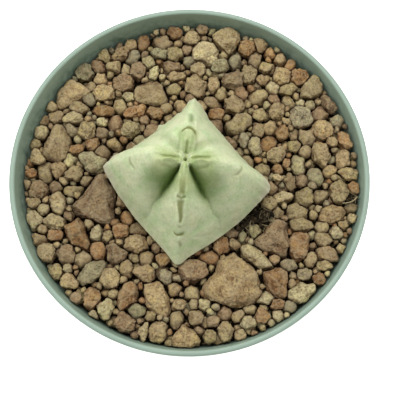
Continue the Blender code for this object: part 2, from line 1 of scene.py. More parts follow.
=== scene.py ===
"""Looks of a potted Whitesloanea, built as an add-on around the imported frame.

Lengths in the tables are millimetres and are turned into metres where a mesh is made. The pot's axis
is the world's Z axis and its foot stands on z = 0; +X is the right and +Y the back.
"""

import json
import math
import random

import bmesh
import bpy
import numpy as np
from bpy.props import FloatProperty, FloatVectorProperty, IntProperty, PointerProperty
from mathutils import Matrix, Vector, noise

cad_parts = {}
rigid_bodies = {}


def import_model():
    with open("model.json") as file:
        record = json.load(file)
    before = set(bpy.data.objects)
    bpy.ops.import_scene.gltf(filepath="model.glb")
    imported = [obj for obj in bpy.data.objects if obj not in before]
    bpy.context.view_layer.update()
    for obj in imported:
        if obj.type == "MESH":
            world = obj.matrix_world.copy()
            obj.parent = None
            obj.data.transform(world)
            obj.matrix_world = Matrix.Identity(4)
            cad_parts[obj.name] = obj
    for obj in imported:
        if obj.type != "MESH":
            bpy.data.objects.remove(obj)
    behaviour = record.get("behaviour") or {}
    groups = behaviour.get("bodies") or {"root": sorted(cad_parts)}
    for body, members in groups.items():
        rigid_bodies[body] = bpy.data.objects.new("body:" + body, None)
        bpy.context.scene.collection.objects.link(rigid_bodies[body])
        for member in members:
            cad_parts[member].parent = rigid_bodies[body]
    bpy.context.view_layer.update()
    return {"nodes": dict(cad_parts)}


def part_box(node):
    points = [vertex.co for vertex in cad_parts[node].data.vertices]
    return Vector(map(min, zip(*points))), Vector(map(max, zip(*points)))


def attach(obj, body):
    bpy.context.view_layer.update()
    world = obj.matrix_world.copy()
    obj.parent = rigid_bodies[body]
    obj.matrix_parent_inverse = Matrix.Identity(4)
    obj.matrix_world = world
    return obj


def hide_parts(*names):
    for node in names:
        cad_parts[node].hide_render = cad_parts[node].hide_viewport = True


for stray in list(bpy.data.objects):
    bpy.data.objects.remove(stray, do_unlink=True)

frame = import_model()

bl_info = {
    "name": "Potted whitesloanea",
    "version": (1, 0, 0),
    "blender": (4, 5, 0),
    "location": "3D View > Sidebar > Whitesloanea",
    "description": "Makes a four-cornered succulent in a round plastic pot dressed with gravel",
    "category": "Object",
}

MM = 0.001
POT_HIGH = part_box("pot")[1]

# The pot, as its solid has it, in millimetres
RIM_Z = POT_HIGH.z / MM
RIM_R = POT_HIGH.x / MM
MOUTH_R = RIM_R - 1.7
WALL = 1.6
BAND_HEIGHT = 8.5
BAND_STEP = 1.0
WALL_TAPER = math.tan(math.radians(11.0))
FLOOR_Z = 4.6
FLOOR_THICKNESS = 1.8
FOOT_WIDTH = 2.6
NOTCH_WIDTH, NOTCH_HEIGHT = 9.0, 1.6
SLOT_COUNT, SLOT_R, SLOT_LENGTH, SLOT_WIDTH = 8, 22.0, 13.0, 3.0
FLOOR_ROUNDING, BAND_ROUNDING, FOOT_ROUNDING = 1.5, 0.45, 0.5

# The gravel: its level at the pot's axis, its slopes and the bottom of its solid
LEVEL_Z = RIM_Z - 4.0
SLOPE_X, SLOPE_Y = 0.026, -0.020
GRAVEL_BOTTOM_Z = 64.0
# The fine grit: its depth below that level, its least depth, its bumps and its heaps on the bare spots
GRIT_DEPTH, GRIT_LEAST_DEPTH, GRIT_BUMPS, GRIT_HEAPS = 5.2, 1.2, 0.9, 2.9
GAP = 0.3                        # kept free between two stones, and between the stones and the plant

# The plant's axis and shape, as its solid has them; heights are above LEVEL_Z
PLANT_X, PLANT_Y = -0.93, -1.3
# Each lobe: direction of its corner, corner radius, height of the corner, sideways bow of its ridge
EAST, NORTH, WEST, SOUTH = range(4)
LOBES = ((-6.9, 25.2, 4.0, 6.0), (84.7, 25.4, 4.2, -4.0), (173.1, 25.2, 4.0, 6.0), (264.7, 26.4, 2.2, -2.0))
CORNER_ROUNDING = 0.06
TOOTH_HEIGHT, TOOTH_RATE = 0.7, 18.0
SPUR = (117.0, 2.6, 1.0)         # direction of the small spur in degrees, half its spread, its height in mm
# Share of the even four-cornered outline in each direction: hollow sides at the back, full ones in front
OUTLINE_SHARES = ((-10, 1.03), (2, 1.0), (11, 0.935), (33, 0.913), (70, 0.918), (77, 0.97), (85, 1.006),
                  (95, 0.93), (118, 0.93), (153, 0.945), (163, 1.02), (176, 1.008), (195, 1.038),
                  (211, 1.035), (255, 0.99), (264, 1.016), (271, 0.985), (293, 1.045), (320, 1.083))
RIDGE = ((0, 20.0), (0.04, 20.6), (0.1, 23.8), (0.2, 25.0), (0.32, 25.15), (0.48, 23.3), (0.635, 19.0),
         (0.79, 13.6), (0.91, 8.6), (1, 4.0))
# The front lobe falls evenly from close to the growing point
FRONT_RIDGE = ((0, 20.0), (0.04, 22.4), (0.1, 23.2), (0.2, 22.6), (0.32, 20.8), (0.48, 17.6), (0.635, 13.8),
               (0.79, 9.4), (0.91, 6.4), (1, 4.0))
# The two deep creases in front and the two shallow ones at the back
CREASE = ((0, 20.0), (0.1, 18.8), (0.2, 17.2), (0.4, 14.8), (0.6, 13.0), (0.8, 9.0), (1, 3.2))
BACK_CREASE = ((0, 20.0), (0.1, 21.4), (0.2, 22.8), (0.4, 23.2), (0.6, 19.3), (0.8, 12.7), (1, 3.6))
# Each crease, from the right at the back round: direction, shape of the lobe's side before and after it
# (below 1 the side bulges, above 1 it is hollow), and whether it is one of the deep ones
CREASES = ((38.9, 1.15, 1.15, False), (128.9, 1.15, 1.15, False), (227.5, 0.6, 0.6, True),
           (303.0, 0.6, 0.6, True))
# The parallel-sided young growth of each lobe: where it starts and ends along the ridge, half its width,
# its height above LEVEL_Z at the start and how fast that rises
STRAPS = ((EAST, 0.95, 7.0, 1.4, 22.5, 0.42), (NORTH, 0.6, 8.4, 2.1, 22.3, 0.45),
          (WEST, 0.95, 7.0, 1.4, 22.5, 0.42), (SOUTH, 0.65, 5.2, 1.3, 22.3, 0.0))
KINK, KINK_RATE = 1.5, 26.0      # how far the lobes wander sideways in degrees, and how often
# Underside down to the root: share of the outline, radius of the round part, height below the edge
FLANK = ((1.0, 0, 0.0), (0.985, 0, -1.3), (0.93, 0, -3.0), (0.78, 1.2, -5.0), (0.5, 4.0, -6.6),
         (0.2, 6.8, -7.6))
# Neck and root: radius, height above the pot's foot
NECK = ((8.4, 70.8), (7.6, 68.0), (6.0, 63.0), (3.6, 56.5), (1.6, 52.0), (0.0, 50.5))
FLANK_ROWS, ROOT_ROWS = 26, 14   # rows of faces from the edge down to the neck, and on to the root's tip
# Swells and crinkles of the skin, and how far it is sunk so that its top stays below the solid's
SWELL, CRINKLE, SUNK = 0.24, 0.07, 0.5

TONES = ("tan", "brown", "orange", "grey", "pale")

# Middle-sized stones between the large ones: x, y, reach along x, reach along y, tone
MIDDLE_STONES = (
    (-25, 38, 5.5, 5, "tan"), (-22, 46.5, 5.5, 3, "orange"), (-28, 41.5, 4, 5, "tan"),
    (-25, 26, 4.5, 5, "tan"), (-19.5, 27, 4.5, 3, "pale"), (-27.5, 22.5, 7, 3.5, "orange"),
    (-37, 20, 7, 4, "pale"), (-42.5, 20.5, 5, 4.5, "brown"), (-35.5, 23.5, 6, 4, "tan"),
    (-42.5, 7.5, 7, 4.5, "tan"), (-30.7, 11.5, 4.5, 4.5, "orange"), (-35.5, 9.5, 5, 3, "orange"),
    (-47.5, 7, 5, 5, "tan"), (-36, 1.5, 5.5, 5, "tan"), (-41, 3, 4.5, 6.5, "tan"),
    (-28, 18.5, 3.5, 3, "pale"), (-49.5, 1.5, 3.5, 3, "orange"), (-9, 50, 5, 4, "tan"),
    (-5, 49.5, 5, 4, "orange"), (-5, 42, 5, 5.5, "tan"), (-6, 37.5, 6, 4, "brown"),
    (-4.5, 34, 7, 3, "tan"), (-11.5, 35.5, 3.5, 5.5, "pale"), (-13.5, 39, 4.5, 4, "pale"),
    (-10, 42, 5.5, 3.5, "grey"), (-13.5, 49, 4, 4.5, "tan"), (-17.5, 48, 3, 4, "brown"),
    (0.5, 47.5, 5, 5, "tan"), (4, 50.5, 4, 3.5, "brown"), (2.5, 36, 5, 5.5, "tan"),
    (9.5, 37.5, 5.5, 5, "grey"), (7.5, 31, 4, 6, "tan"), (22.5, 44.5, 5, 6, "tan"),
    (28, 43, 5.5, 6, "brown"), (32.5, 40.5, 4.5, 3, "orange"), (24.5, 37, 4.5, 4, "tan"),
    (23.5, 32.5, 5, 3, "tan"), (31.5, 29, 6, 4, "tan"), (47, 20.5, 4, 4.5, "tan"),
    (36.5, 13, 5.5, 6, "tan"), (47.5, 5.5, 4.5, 6.5, "tan"), (8.5, 21, 5.5, 4, "orange"),
    (22, 20.5, 4.5, 4, "tan"), (21.5, 15, 4, 5, "tan"), (20.5, 10, 4, 7, "pale"),
    (17, 12, 3.5, 6, "grey"), (29, 14.5, 4.5, 5, "orange"), (32.5, 10, 4, 4, "tan"),
    (7.5, 51, 1.4, 3.5, "pale"), (-40.5, -8, 5, 7, "pale"), (-37.8, -6, 4, 5, "tan"),
    (-48, -8, 4, 3, "tan"), (-48, -13, 5, 6.5, "pale"), (-41, -18, 5, 4, "orange"),
    (-28.5, -17.5, 3.5, 5, "pale"), (-25, -18.5, 3, 4, "tan"), (-21, -17, 4.5, 4.5, "orange"),
    (-37.5, -24, 5.5, 6, "brown"), (-40.5, -29.5, 4.5, 5, "tan"), (-36, -32.5, 5.5, 5, "tan"),
    (-34, -37.5, 3.5, 4, "brown"), (-25, -40.5, 5, 7, "pale"), (-13.5, -30, 6.5, 5, "tan"),
    (-9, -47.5, 6, 6.5, "tan"), (-13.5, -47.5, 2.5, 7, "pale"), (-3, -39.5, 4, 3, "tan"),
    (-7, -31, 4, 5, "grey"), (-8, -26, 4, 4, "orange"), (34, -15.5, 7, 4, "tan"),
    (33, -11.5, 7, 5.5, "tan"), (35.5, -6.5, 6, 5.5, "tan"), (28.5, -6.5, 7, 3.5, "pale"),
    (24.5, -8.5, 5, 4, "tan"), (31, -1.5, 3.5, 6, "tan"), (27.2, -0.5, 3.5, 2, "pale"),
    (49, 1, 6.5, 4, "tan"), (40.5, -20, 5, 5, "tan"), (41.5, -24.5, 7, 5, "brown"),
    (44.5, -18, 4, 4.5, "pale"), (40.5, -28, 5, 3, "tan"), (39, -32, 4, 3.5, "orange"),
    (34.5, -30.5, 4.5, 3.5, "grey"), (49.5, -13.5, 3, 3, "pale"), (26, -39.5, 5, 3, "orange"),
    (21.5, -43, 4.5, 5, "orange"), (17.5, -45, 5, 3.5, "pale"), (10.8, -47.5, 4.5, 6, "tan"),
    (6, -49, 4, 4, "tan"), (2, -43.5, 4.5, 5, "tan"), (7, -44.5, 4, 3.5, "brown"),
    (9.5, -21.5, 5, 6, "orange"), (16, -19, 2.5, 3.5, "grey"),
)
# The fill is laid in layers: depth below the level in mm, share of its full size, places that are tried
FILL_LAYERS = ((0.9, 1.0, 9000), (2.3, 0.9, 7000), (3.9, 1.2, 4000))
# Places where no fill stones lie, because dark soil shows: x, y, radius
BARE_SPOTS = ((20.5, -13.0, 4.2), (16.6, -15.6, 2.4), (24.0, -11.6, 2.0), (50.0, -7.6, 2.4))


# ---------------------------------------------------------------- settings

def linear(code):
    """An sRGB hex colour as linear red, green, blue and alpha."""
    channels = [int(code[i:i + 2], 16) / 255.0 for i in (1, 3, 5)]
    return tuple(c / 12.92 if c <= 0.04045 else ((c + 0.055) / 1.055) ** 2.4 for c in channels) + (1.0,)


def colour_property(name, description, code):
    return FloatVectorProperty(name=name, description=description, default=linear(code), size=4,
                               subtype="COLOR", min=0.0, max=1.0)


class PotSettings(bpy.types.PropertyGroup):
    """The plastic pot"""
    steps: IntProperty(name="Steps round", description="Faces round the pot's wall", default=256, min=64)
    lip_radius: FloatProperty(name="Lip rounding", description="Radius of the rounded top of the lip",
                              default=0.0007, unit="LENGTH")
    plastic: colour_property("Plastic", "Colour of the moulded plastic", "#9DB3A2")
    # Dust colour, which also paints shade low on the inner wall, darker towards the bottom
    dust: colour_property("Dust", "Colour of the dried splashes inside the wall", "#536A59")


class GravelSettings(bpy.types.PropertyGroup):
    """The stones"""
    seed: IntProperty(name="Seed", description="Start of the random shapes of the stones", default=11)
    fill_largest: FloatProperty(name="Largest fill", description="Half the width of the largest fill stone",
                                default=0.0026, unit="LENGTH")
    fill_smallest: FloatProperty(name="Smallest fill", description="Half the width of the smallest one",
                                 default=0.0009, unit="LENGTH")
    tan: colour_property("Tan stone", "Main colour of the tan stones", "#A49273")
    brown: colour_property("Brown stone", "Main colour of the brown stones", "#917B63")
    orange: colour_property("Orange stone", "Main colour of the burnt orange stones", "#9F7D5B")
    grey: colour_property("Grey stone", "Main colour of the grey stones", "#9A917A")
    pale: colour_property("Pale stone", "Main colour of the pale stones", "#B3A788")
    soil: colour_property("Soil", "Colour of the potting soil", "#3A2F20")


class LitterSettings(bpy.types.PropertyGroup):
    """The soil crumbs and bark fibres on the open soil"""
    seed: IntProperty(name="Seed", description="Start of the random places of the scraps", default=5)
    crumbs: FloatProperty(name="Crumbs", description="Crumbs for each square of an open spot's radius in mm",
                          default=6.0, min=0.0)
    fibres: FloatProperty(name="Fibres", description="Fibres for each square of an open spot's radius in mm",
                          default=3.0, min=0.0)


class PlantSettings(bpy.types.PropertyGroup):
    """The succulent"""
    steps: IntProperty(name="Steps round", description="Faces round the plant", default=384, min=96)
    rows: IntProperty(name="Rows", description="Rows of faces from the growing point to the edge",
                      default=150, min=40)
    skin: colour_property("Skin", "Colour of the waxy skin on the outer faces", "#D8E2B9")
    # Painted shade: the skin's colour down in the creases and on the shaded sides of the lobes
    shaded_skin: colour_property("Sheltered skin", "Colour of the skin down in the creases", "#6D8245")
    young: colour_property("Young growth", "Colour of the young tubercles round the growing point", "#BCCA94")
    edge: colour_property("Edge", "Colour of the pale corky edges", "#E6E3C6")
    # The stain colour also paints shade in the pit and a shadow line round each side lobe's nose
    stain: colour_property("Stain", "Colour of the marks in the grooves", "#7A7E40")


class StageSettings(bpy.types.PropertyGroup):
    """Floor, light and camera"""
    floor_size: FloatProperty(name="Floor size", description="Width of the floor", default=24.0,
                              unit="LENGTH")
    floor: colour_property("Floor", "Colour of the floor", "#F4F4F2")
    key_power: FloatProperty(name="Key power", description="Power of the large soft light", default=7.4,
                             unit="POWER")
    side_power: FloatProperty(name="Side power", description="Power of the soft light on each side",
                              default=3.0, unit="POWER")
    front_power: FloatProperty(name="Front power", description="Power of the weak light from the front",
                               default=1.4, unit="POWER")
    sky: FloatProperty(name="Sky", description="Strength of the even light from all round", default=0.12)
    lens: FloatProperty(name="Lens", description="Focal length of the camera in millimetres", default=72.81)
    camera: FloatVectorProperty(name="Camera", description="Place of the camera", size=3,
                                default=(0.0032, -0.06961, 0.31847), subtype="TRANSLATION", unit="LENGTH")
    tilt: FloatProperty(name="Tilt", description="Tilt of the camera from straight down",
                        default=math.radians(14.487), unit="ROTATION")


# ---------------------------------------------------------------- shared helpers

# Inputs of a Mix node that mixes colours
FACTOR, UNDER, OVER = 0, 6, 7


def feed(node, inputs):
    """Set a node's inputs: each to a value, to a socket or to the first output that another node offers."""
    for socket, value in inputs.items():
        if isinstance(value, bpy.types.Node):
            value = next(output for output in value.outputs if output.enabled)
        if isinstance(value, bpy.types.NodeSocket):
            node.id_data.links.new(value, node.inputs[socket])
        else:
            node.inputs[socket].default_value = value


def add_node(tree, kind, inputs=None, stops=None, **settings):
    """Add a shader node, set it up and join its inputs, as feed does."""
    made = tree.nodes.new("ShaderNode" + kind)
    for name, value in settings.items():
        setattr(made, name, value)
    if stops:
        ramp = made.color_ramp
        while len(ramp.elements) < len(stops):
            ramp.elements.new(1.0)
        for element, (place, colour) in zip(ramp.elements, stops):
            element.position = place
            element.color = colour + (1.0,)
    feed(made, inputs or {})
    return made


def new_material(name):
    """A material; gives it with its tree, its Principled shader and the object's own coordinates."""
    material = bpy.data.materials.new(name)
    material.use_nodes = True
    tree = material.node_tree
    place = add_node(tree, "TexCoord").outputs["Object"]
    return material, tree, tree.nodes["Principled BSDF"], place


def grey(value):
    return (value, value, value)


def spin_line(points, steps, merge, closed=False):
    """A mesh from a line of x and z that is spun round the Z axis; points nearer than merge are joined."""
    bm = bmesh.new()
    line = [bm.verts.new((x, 0.0, z)) for x, z in points]
    following = line[1:] + line[:1] if closed else line[1:]
    edges = [bm.edges.new(pair) for pair in zip(line, following)]
    bmesh.ops.spin(bm, geom=line + edges, cent=(0, 0, 0), axis=(0, 0, 1), angle=math.tau, steps=steps,
                   use_merge=True)
    bmesh.ops.remove_doubles(bm, verts=bm.verts, dist=merge)
    return bm


def make_object(name, bm, material=None):
    """Turn a bmesh into an object of the scene and free it."""
    mesh = bpy.data.meshes.new(name)
    bm.to_mesh(mesh)
    bm.free()
    if material:
        mesh.materials.append(material)
    obj = bpy.data.objects.new(name, mesh)
    bpy.context.scene.collection.objects.link(obj)
    return obj


def finish_mesh(name, bm, material):
    """Turn a bmesh in millimetres into a smooth object in metres that rides on the body."""
    bmesh.ops.scale(bm, vec=(MM, MM, MM), verts=bm.verts)
    for face in bm.faces:
        face.smooth = True
    obj = make_object(name, bm, material)
    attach(obj, "root")
    return obj


def random_vector(rng, low, high):
    return Vector((rng.uniform(low, high), rng.uniform(low, high), rng.uniform(low, high)))


def turned(x, y, angle):
    """A point turned round the Z axis."""
    cos, sin = math.cos(angle), math.sin(angle)
    return cos * x - sin * y, sin * x + cos * y


def inner_radius(z):
    """Inner radius of the pot's tapered wall at a height."""
    return MOUTH_R - (RIM_Z - z) * WALL_TAPER


def gravel_level(x, y):
    return LEVEL_Z + SLOPE_X * x + SLOPE_Y * y


# ---------------------------------------------------------------- pot

def pot_material(settings):
    """Injection-moulded polypropylene: a satin skin with faint flow marks, and dried splashes inside, whose
    darker, greener colour also paints shade low on the inner wall.
    """
    material, tree, shader, place = new_material("moulded_polypropylene")
    # Flow marks run up the wall, so the pattern is stretched along Z; they lie about 6 mm apart
    stretched = add_node(tree, "Mapping", {"Vector": place, "Scale": (160.0, 160.0, 18.0)})
    flow = add_node(tree, "TexNoise", {"Vector": stretched, "Scale": 1.0, "Detail": 3.0})
    tint = add_node(tree, "ValToRGB", {"Fac": flow}, stops=((0.3, grey(0.93)), (0.7, grey(1.0))))
    plastic = add_node(tree, "Mix", {FACTOR: 1.0, UNDER: settings.plastic, OVER: tint}, data_type="RGBA",
                       blend_type="MULTIPLY")
    # Fine spark-eroded grain of the mould, 0.35 mm
    grain = add_node(tree, "TexNoise", {"Vector": place, "Scale": 2800.0, "Detail": 2.0})
    bump = add_node(tree, "Bump", {"Height": grain, "Strength": 0.12, "Distance": 0.05 * MM})
    # Splashes and dust cling to the wall just above the gravel, and the same colour paints shade there,
    # darker towards the bottom
    splashes = add_node(tree, "TexNoise", {"Vector": place, "Scale": 330.0, "Detail": 5.0, "Roughness": 0.65})
    patch = add_node(tree, "ValToRGB", {"Fac": splashes}, stops=((0.4, grey(0.15)), (0.66, grey(0.85))))
    height = add_node(tree, "SeparateXYZ", {0: place}).outputs["Z"]
    amount = add_node(tree, "MapRange", {"Value": height, "From Min": (LEVEL_Z + 3.4) * MM,
                                         "From Max": (LEVEL_Z - 1.5) * MM})
    flat = add_node(tree, "VectorMath", {0: place, 1: (1.0, 1.0, 0.0)}, operation="MULTIPLY")
    out = add_node(tree, "VectorMath", {0: flat}, operation="LENGTH")
    inside = add_node(tree, "Math", {0: out, 1: (MOUTH_R + 0.1) * MM}, operation="LESS_THAN")
    # Further down, the outside of the tapered wall comes within the mouth's radius: the dust and the painted
    # shade end above that
    above = add_node(tree, "MapRange", {"Value": height, "From Min": (LEVEL_Z - 4.4) * MM,
                                        "From Max": (LEVEL_Z - 3.4) * MM})
    for factor in (inside, above, patch):
        amount = add_node(tree, "Math", {0: amount, 1: factor}, operation="MULTIPLY")
    colour = add_node(tree, "Mix", {FACTOR: amount, UNDER: plastic, OVER: settings.dust}, data_type="RGBA")
    rough = add_node(tree, "MapRange", {"Value": splashes, "To Min": 0.38, "To Max": 0.52})
    feed(shader, {"Base Color": colour, "Roughness": rough, "Normal": bump, "IOR": 1.49})
    return material


def arc_points(radius, middle_r, middle_z, start, end, parts):
    """Points of an arc in the pot's profile; angles in degrees from the outward direction."""
    angles = [math.radians(start + (end - start) * i / parts) for i in range(parts + 1)]
    return [(middle_r + radius * math.cos(a), middle_z + radius * math.sin(a)) for a in angles]


def pot_profile(lip):
    """The pot's section: up the inner wall, over the lip and down the outer side to the foot."""
    foot_r = inner_radius(FLOOR_Z) + WALL
    band_z = RIM_Z - BAND_HEIGHT
    under_band = inner_radius(band_z) + WALL
    under_z = FLOOR_Z - FLOOR_THICKNESS
    band_r = under_band + BAND_STEP
    round_z = FLOOR_Z + FLOOR_ROUNDING
    profile = [(0.0, FLOOR_Z), (12.0, FLOOR_Z), (30.0, FLOOR_Z)]
    profile += arc_points(FLOOR_ROUNDING, inner_radius(round_z) - FLOOR_ROUNDING, round_z, -90, -11, 4)
    heights = [round_z + (band_z - round_z) * i / 8 for i in range(1, 9)] + [RIM_Z - 2.0]
    profile += [(inner_radius(z), z) for z in heights]
    profile += arc_points(lip, MOUTH_R + lip - 0.05, RIM_Z - lip, 180, 96, 5)
    profile += arc_points(lip, RIM_R - lip, RIM_Z - lip, 84, 0, 5)
    profile += [(RIM_R - 0.35, RIM_Z - 3.5), (band_r, band_z + 0.7)]
    profile += arc_points(BAND_ROUNDING, band_r - BAND_ROUNDING, band_z + BAND_ROUNDING, 0, -90, 3)
    profile += [(under_band + 0.15, band_z), (under_band, band_z - 0.4)]
    heights = [band_z - 0.4 + (FLOOR_Z - band_z + 0.4) * i / 9 for i in range(1, 10)]
    profile += [(inner_radius(z) + WALL, z) for z in heights]
    profile.append((foot_r - 0.35, 1.0))
    profile += arc_points(FOOT_ROUNDING, foot_r - 1.1, FOOT_ROUNDING, -10, -90, 3)
    profile += [(foot_r - 0.2 - FOOT_WIDTH, 0.0), (foot_r - 0.6 - FOOT_WIDTH, 0.4),
                (foot_r - 0.4 - FOOT_WIDTH, under_z), (12.0, under_z), (0.0, under_z)]
    return profile


def cut_away(obj, cutters):
    """Cut the cutters out of an object, keep the result and drop the cutters."""
    for cutter in cutters:
        boolean = obj.modifiers.new("cut", "BOOLEAN")
        boolean.operation = "DIFFERENCE"
        boolean.solver = "EXACT"
        boolean.object = cutter
    bpy.context.view_layer.update()
    graph = bpy.context.evaluated_depsgraph_get()
    mesh = bpy.data.meshes.new_from_object(obj.evaluated_get(graph))
    obj.modifiers.clear()
    old = obj.data
    obj.data = mesh
    bpy.data.meshes.remove(old)
    for cutter in cutters:
        bpy.data.objects.remove(cutter, do_unlink=True)


def block_cutter(name, size, middle, turn):
    """A block with rounded corners that stands for a drain slot or a notch."""
    bm = bmesh.new()
    bmesh.ops.create_cube(bm, size=1.0)
    bmesh.ops.scale(bm, vec=size, verts=bm.verts)
    upright = [e for e in bm.edges if abs((e.verts[0].co - e.verts[1].co).z) > 0.5 * size[2]]
    bmesh.ops.bevel(bm, geom=upright, offset=0.48 * min(size[0], size[1]), offset_type="OFFSET",
                    segments=4, profile=0.5, affect="EDGES", clamp_overlap=True, material=-1)
    bmesh.ops.translate(bm, vec=middle, verts=bm.verts)
    bmesh.ops.rotate(bm, cent=(0, 0, 0), matrix=Matrix.Rotation(turn, 3, "Z"), verts=bm.verts)
    bmesh.ops.scale(bm, vec=(MM, MM, MM), verts=bm.verts)
    return make_object(name, bm)


class WHITESLOANEA_OT_pot(bpy.types.Operator):
    """Make the round tapered pot with its band, foot notches and drain slots"""
    bl_idname = "whitesloanea.pot"
    bl_label = "Make pot"

    def execute(self, context):
        settings = context.scene.whitesloanea_pot
        bm = spin_line(pot_profile(settings.lip_radius / MM), settings.steps, 0.001)
        bmesh.ops.recalc_face_normals(bm, faces=bm.faces)
        pot = finish_mesh("pot_shell", bm, pot_material(settings))
        slot = (SLOT_LENGTH, SLOT_WIDTH, 6.0)
        slot_middle = (SLOT_R, 0.0, FLOOR_Z - 0.5 * FLOOR_THICKNESS)
        cutters = [block_cutter("slot_cutter_%d" % i, slot, slot_middle, math.tau * (i + 0.5) / SLOT_COUNT)
                   for i in range(SLOT_COUNT)]
        notch = (6.0, NOTCH_WIDTH, 2.0 * NOTCH_HEIGHT)
        notch_middle = (inner_radius(FLOOR_Z) + WALL - 2.0, 0.0, 0.0)
        cutters += [block_cutter("notch_cutter_%d" % i, notch, notch_middle, math.radians(45 + 90 * i))
                    for i in range(4)]
        cut_away(pot, cutters)
        mark_sharp(pot, math.radians(40))
        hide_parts("pot")
        return {"FINISHED"}


def mark_sharp(obj, angle):
    """Smooth shading, but for the edges that turn by more than an angle."""
    bm = bmesh.new()
    bm.from_mesh(obj.data)
    for face in bm.faces:
        face.smooth = True
    for edge in bm.edges:
        if edge.is_manifold:
            edge.smooth = edge.calc_face_angle() < angle
    bm.to_mesh(obj.data)
    bm.free()


# ---------------------------------------------------------------- soil

def soil_material(name, colour, crumb):
    """Peaty potting soil: dark crumbs with pale grit and fibres, matt all over; crumb is in metres."""
    material, tree, shader, place = new_material(name)
    coarse = add_node(tree, "TexNoise", {"Vector": place, "Scale": 0.6 / crumb, "Detail": 6.0,
                                         "Roughness": 0.7})
    crumbs = add_node(tree, "TexVoronoi", {"Vector": place, "Scale": 1.0 / crumb})
    shade = add_node(tree, "ValToRGB", {"Fac": coarse},
                     stops=((0.3, grey(0.35)), (0.55, grey(0.9)), (0.75, grey(1.9))))
    base = add_node(tree, "Mix", {FACTOR: 1.0, UNDER: colour, OVER: shade}, data_type="RGBA",
                    blend_type="MULTIPLY")
    # Single grains of pale grit, one crumb in twelve
    pick = add_node(tree, "SeparateColor", {0: crumbs.outputs["Color"]})
    pale = add_node(tree, "Math", {0: pick, 1: 0.92}, operation="GREATER_THAN")
    mixed = add_node(tree, "Mix", {FACTOR: pale, UNDER: base, OVER: linear("#8A7A58")}, data_type="RGBA")
    lump = add_node(tree, "Bump", {"Height": crumbs, "Strength": 0.9, "Distance": 0.4 * crumb}, invert=True)
    fine = add_node(tree, "Bump", {"Height": coarse, "Strength": 0.6, "Distance": 0.4 * crumb,
                                   "Normal": lump})
    feed(shader, {"Base Color": mixed, "Normal": fine, "Roughness": 0.95, "Specular IOR Level": 0.2})
    return material


class WHITESLOANEA_OT_soil(bpy.types.Operator):
    """Give the potting soil its finish and lay the fine grit under the stones"""
    bl_idname = "whitesloanea.soil"
    bl_label = "Finish soil"

    def execute(self, context):
        settings = context.scene.whitesloanea_gravel
        soil = frame["nodes"]["potting_soil"]
        soil.data.materials.clear()
        soil.data.materials.append(soil_material("peat_soil", settings.soil, 1.4 * MM))
        grit_finish = soil_material("fine_grit", settings.soil, 0.9 * MM)
        grit = finish_mesh("grit_base", self.shape_grit(), grit_finish)
        return {"FINISHED"}

    def shape_grit(self):
        """A closed ring of bumpy fine grit from the plant's neck to the wall, below the stones.
        It is spun from 1 to 2 wide, with its top at 1 and its bottom at 0, and then moved into place."""
        inner, outer = NECK[0][0] + 0.6, inner_radius(RIM_Z - 9.0) - 0.4
        section = [(1.0 + i / 60, 1.0) for i in range(61)] + [(1.0 + i / 6, 0.0) for i in range(6, -1, -1)]
        bm = spin_line(section, 240, 0.0001, closed=True)
        for vert in bm.verts:
            out = math.hypot(vert.co.x, vert.co.y) - 1.0
            angle = math.atan2(vert.co.y, vert.co.x)
            radius = inner + (outer - inner) * out
            x = PLANT_X * (1.0 - out) + radius * math.cos(angle)
            y = PLANT_Y * (1.0 - out) + radius * math.sin(angle)
            if vert.co.z > 0.5:
                bumps = GRIT_BUMPS * noise.fractal(Vector((x, y, 3.0)) * 0.55, 0.7, 2.1, 4)
                z = gravel_level(x, y) - GRIT_DEPTH + bumps
                for spot_x, spot_y, spot_r in BARE_SPOTS:
                    reach = math.hypot(x - spot_x, y - spot_y) / spot_r
                    z += GRIT_HEAPS * math.exp(-reach ** 2 * 0.8)
                z = min(z, gravel_level(x, y) - GRIT_LEAST_DEPTH)
            else:
                z = GRAVEL_BOTTOM_Z + 0.3
                keep = min(1.0, (inner_radius(z) - 0.4) / math.hypot(x, y))
                x, y = x * keep, y * keep
            vert.co = Vector((x, y, z))
        bmesh.ops.recalc_face_normals(bm, faces=bm.faces)
        return bm


# ---------------------------------------------------------------- stones

def probe_directions(count=90):
    """Even directions over a sphere, along which stones are measured."""
    golden = math.pi * (3.0 - math.sqrt(5.0))
    start = random.Random(1).uniform(0.0, math.tau)
    result = []
    for i in range(count):
        z = 1.0 - 2.0 * (i + 0.5) / count
        r = math.sqrt(1.0 - z * z)
        angle = start + golden * i
        result.append(tuple(Vector((r * math.cos(angle), r * math.sin(angle), z)).normalized()))
    return np.array(result)


PROBES = probe_directions()
# What a stone keeps clear of other stones' flat sides, of the wall and, beyond GAP, of the plant, in mm
SIDE_GAP, WALL_GAP, SKIN_MARGIN = 0.12, 0.35, 0.1
# How far a stone's centre has to lie from another stone, the wall and the plant, and how much of the stone
# has to be left when it is cut back, as shares of its reach
LEAST_TO_STONE, LEAST_TO_WALL, LEAST_TO_SKIN, LEAST_REACH = 0.22, 0.35, 0.3, 0.5
CELL = 8                         # size of the grid cells that stones are filed under, in mm
SQUARENESS = 2.6                 # of a new stone seen from above: 2 is an ellipse, more is squarer
# The fill takes its tones from this list: tan and brown are the commonest
FILL_TONES = TONES + ("tan", "tan", "brown", "tan")
# A stone starts this much wider than its place, because its corners are worn off and it is cut back
MIDDLE_OVERSIZE, FILL_OVERSIZE = 1.08, 1.3
MIDDLE_HEIGHT = 0.72             # height of a middle-sized stone, as a share of its mean width
NARROWEST_GAP = 0.75             # that is filled, as a share of the smallest stone
# Relief of a stone: height as a share of its reach, and the most that it may be in mm
LUMPS = 0.16
CHIPS, GRAINS, PITS = (0.14, 0.55), (0.05, 0.17), (0.14, 0.5)


